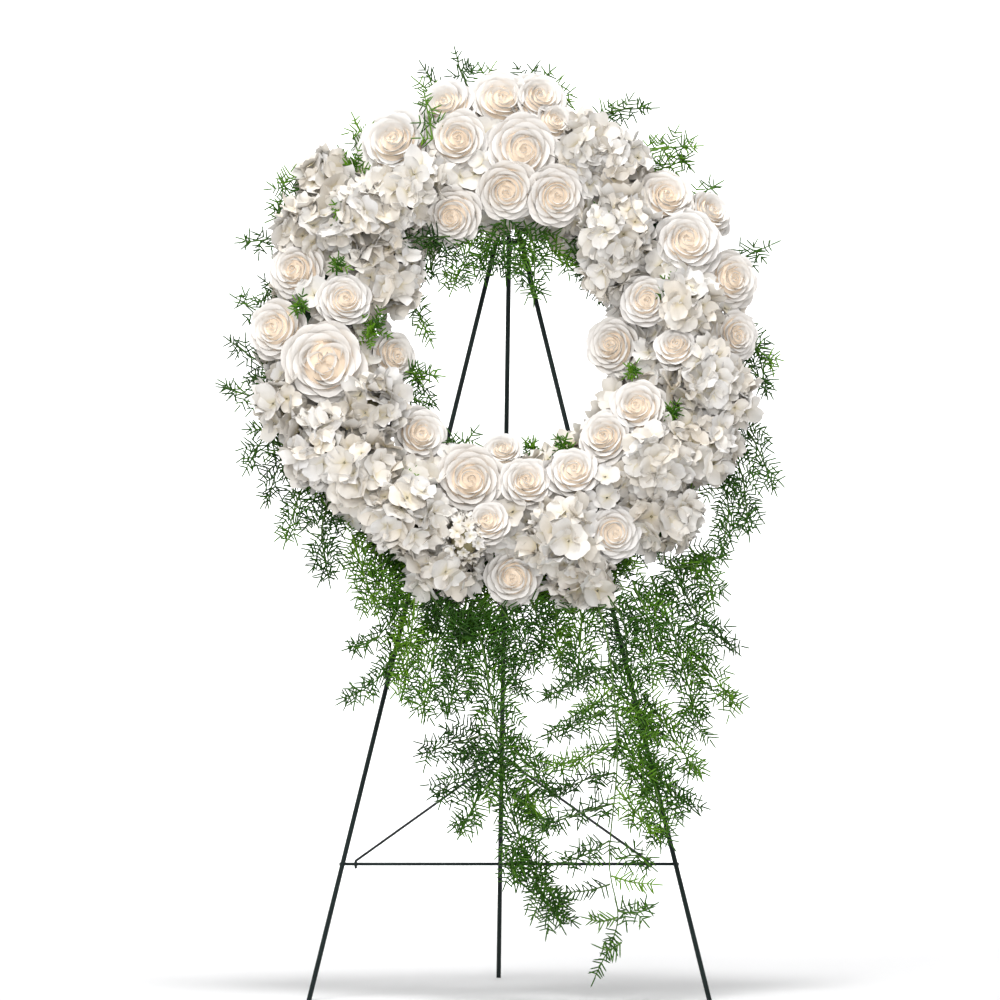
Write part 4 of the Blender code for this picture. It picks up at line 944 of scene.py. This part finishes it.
def make_roses(material):
    """All rose heads; returns them as heads, which the florets keep clear of."""
    heads = []
    for name, (across, down, radius, right, up) in ROSES.items():
        head = Head(across, down, radius)
        rng = random.Random(name)
        facing = unit(FRONT + RIGHT * right + np.array([0, 0, up]))
        pile = Pile()
        rose_head(pile, head, facing, rng, name == "rose_left_open")
        place(pile.build(name + "_petals", material), "rose_petal", name)
        head.facing = facing
        heads.append(head)
    return heads


def make_hydrangeas(material, roses):
    """Every bunch's florets, then those that close the bed between the bunches."""
    taken = []
    piles, centres = {}, {}
    for name, places in HYDRANGEAS.items():
        rng = random.Random(name)
        piles[name] = Pile()
        centres[name] = []
        for spot in places:
            head = Head(*spot)
            hydrangea_head(piles[name], head, roses, rng, taken)
            centres[name].append(head.centre)
    bed_florets(piles, centres, roses, random.Random("bed"), taken)
    for name, pile in piles.items():
        place(pile.build(name + "_florets", material), "hydrangea_petal", name)


STOCK_FLORETS = 26
STOCK_SPREAD = math.radians(105)
STOCK_SIZES = (0.013, 0.019)
STOCK_PETALS = 5
STOCK_RUFFLE = 0.22


def make_stock(material):
    """The sprig of stock: small ruffled florets all round a lump."""
    rng = random.Random("stock")
    head = Head(*STOCK)
    axis = unit(head.axis + 0.6 * FRONT)
    pile = Pile()
    for direction in spread_directions(axis, STOCK_SPREAD, STOCK_FLORETS):
        centre = head.centre + direction * head.radius * rng.uniform(0.75, 1.0)
        size = rng.uniform(*STOCK_SIZES)
        floret(pile, centre, unit(direction), size, rng, STOCK_PETALS, STOCK_RUFFLE)
    lump(pile, head.centre, head.radius * 0.66, rng, 0.3)
    place(pile.build("stock_florets", material), "stock_petal", "stock_sprig")


def make_ferns(material):
    """The sprays and edge branchlets of every fern node."""
    for name, sprays in SPRAYS.items():
        fern = Fern(name)
        gap = TRAIL_BRANCHLET_GAP if name.startswith("fern_trail") else BRANCHLET_GAP
        for route, feather in sprays:
            fern.spray(sheet_route(route), feather * SHEET, gap)
        for first, last, count, length, radius, w in FRINGES.get(name, ()):
            fern.fringe(first, last, count, length * SHEET, radius, w)
        place(fern.build(name + "_needles", material), "fern_green", name)


TUFT_HEAD_RADIUS = 10
TUFT_SINK = 0.006
TUFT_SPREAD = math.radians(84)
TUFT_BRANCHLETS = 7
TUFT_NEEDLE_LENGTH = 0.013


def make_tufts(material):
    """Short dense fern tips that stand out of the flowers."""
    for number, (across, down, radius) in enumerate(TUFTS):
        fern = Fern(f"tuft {number}")
        rng = fern.rng
        head = Head(across, down, TUFT_HEAD_RADIUS)
        root = head.centre - TUFT_SINK * FRONT
        axis = unit(FRONT + 0.3 * head.axis)
        for direction in spread_directions(axis, TUFT_SPREAD, TUFT_BRANCHLETS):
            length = radius * SHEET * rng.uniform(0.6, 1.1)
            fern.feather(root, direction, length, 0.1, rng.uniform(0.45, 1.0), TUFT_NEEDLE_LENGTH)
        place(fern.build(f"tuft_{number}", material), "fern_green")


STALK_RADIUS = 0.0026
STALK_SINK = 0.010
STALK_BOW = 0.004
STALK_SIDES = 8
STALK_MARKS = (0.2, 0.5)
CUP_BACK = 0.52
CUP_RADII = (0.0034, 0.0060, 0.0090)


def make_stems(roses, material):
    """Green stems and cups that hold the rose heads to the foam, seen from the sides and the back."""
    pile = Pile()
    for head in roses:
        base = head.centre - head.facing * head.radius * CUP_BACK
        foot = head.hub + unit(base - head.hub) * (FOAM_RADIUS - STALK_SINK)
        path = smooth_route([foot, (foot + base) / 2 - head.facing * STALK_BOW, base], ROUTE_STEP)
        radii = np.full(len(path), STALK_RADIUS)
        radii[-len(CUP_RADII):] = CUP_RADII
        tube_mesh(pile, path, radii, STALK_SIDES, STALK_MARKS)
    place(pile.build("rose_stems", material), "fern_green")


def dress_cad(paint, foam, tray):
    """Materials for the CAD pieces that stay in view: the easel's wires, the foam and the tray."""
    for name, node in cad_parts.items():
        if name == "foam_ring":
            node.data.materials[0] = foam
        elif name == "tray_ring":
            node.data.materials[0] = tray
        elif not name.startswith(("rose_", "hydrangea_", "stock_", "fern_")):
            node.data.materials[0] = paint


FLOOR_HALF = 9.0
FLOOR_COLOUR = (0.80, 0.80, 0.805, 1)
BEND_Y, BEND_RADIUS = 6.7, 1.6
BACKDROP_TOP = 9.0


def make_floor():
    """A pale studio floor that curves up behind into the backdrop."""
    profile = [(-FLOOR_HALF, 0.0), (BEND_Y, 0.0)]
    for turn in np.linspace(0.15, 1.57, 10):
        profile.append((BEND_Y + BEND_RADIUS * math.sin(turn), BEND_RADIUS * (1 - math.cos(turn))))
    profile.append((BEND_Y + BEND_RADIUS, BACKDROP_TOP))
    points = []
    for x in (-FLOOR_HALF, FLOOR_HALF):
        points += [(x, y, z) for y, z in profile]
    count = len(profile)
    faces = [(i, i + 1, count + i + 1, count + i) for i in range(count - 1)]
    mesh = bpy.data.meshes.new("studio_floor")
    mesh.from_pydata(points, [], faces)
    mesh.shade_smooth()
    floor = bpy.data.objects.new("studio_floor", mesh)
    bpy.context.scene.collection.objects.link(floor)
    material, _, shader, _ = principled("studio_paper", 0.9, 200, 0.0002)
    shader.inputs["Base Color"].default_value = FLOOR_COLOUR
    mesh.materials.append(material)


# Lamps: where each stands, where it is aimed, its size in metres and its power in watts
LAMPS = {
    "key": ((-1.3, -3.6, 2.8), (0, 0, 0.8), 1.2, 58),
    "front": ((0.3, -4.6, 1.3), (0, 0, 0.7), 1.6, 50),
    "overhead": ((0, -1.4, 5.0), (0, 0.1, 0), 1.4, 130),
    "backdrop": ((0, 4.4, 4.6), (0, 7.8, 1.0), 4.0, 470),
}
WORLD_STRENGTH = 0.52


def area_light(name, place_at, aim, size, power):
    """A round white lamp aimed at a point."""
    data = bpy.data.lights.new(name, "AREA")
    data.shape = "DISK"
    data.size = size
    data.energy = power
    lamp = bpy.data.objects.new(name, data)
    lamp.location = place_at
    lamp.rotation_euler = (Vector(aim) - Vector(place_at)).to_track_quat("-Z", "Y").to_euler()
    bpy.context.scene.collection.objects.link(lamp)


def make_light():
    """A plain white world and the lamps."""
    world = bpy.data.worlds.new("studio")
    world.use_nodes = True
    background = world.node_tree.nodes["Background"]
    background.inputs["Color"].default_value = (1, 1, 1, 1)
    background.inputs["Strength"].default_value = WORLD_STRENGTH
    bpy.context.scene.world = world
    bpy.context.scene.view_settings.view_transform = "Standard"
    for name, (place_at, aim, size, power) in LAMPS.items():
        area_light(name, place_at, aim, size, power)


CAMERA_BACK = 6.0
CAMERA_HEIGHT = 0.36
CAMERA_PITCH = math.radians(92.38)
CAMERA_SHEET_X = 500
CAMERA_LENS = 176.9
CAMERA_SENSOR = 36
CAMERA_REACH = 40


def make_camera():
    """The photograph's view: far back, low, looking slightly up."""
    data = bpy.data.cameras.new("camera")
    data.sensor_width = CAMERA_SENSOR
    data.lens = CAMERA_LENS
    data.clip_end = CAMERA_REACH
    camera = bpy.data.objects.new("camera", data)
    across = SHIFT.x + (CAMERA_SHEET_X - SHEET_CENTRE_X) * SHEET
    camera.location = (across, SHIFT.y - CAMERA_BACK, CAMERA_HEIGHT)
    camera.rotation_euler = (CAMERA_PITCH, 0, 0)
    bpy.context.scene.collection.objects.link(camera)
    bpy.context.scene.camera = camera


def main():
    make_camera()
    make_light()
    make_floor()
    dress_cad(paint_material(), foam_material(), tray_material())
    petals, white, green = rose_material(), hydrangea_material(), fern_material()
    roses = make_roses(petals)
    make_hydrangeas(white, roses)
    make_stock(white)
    make_ferns(green)
    make_tufts(green)
    make_stems(roses, green)


main()
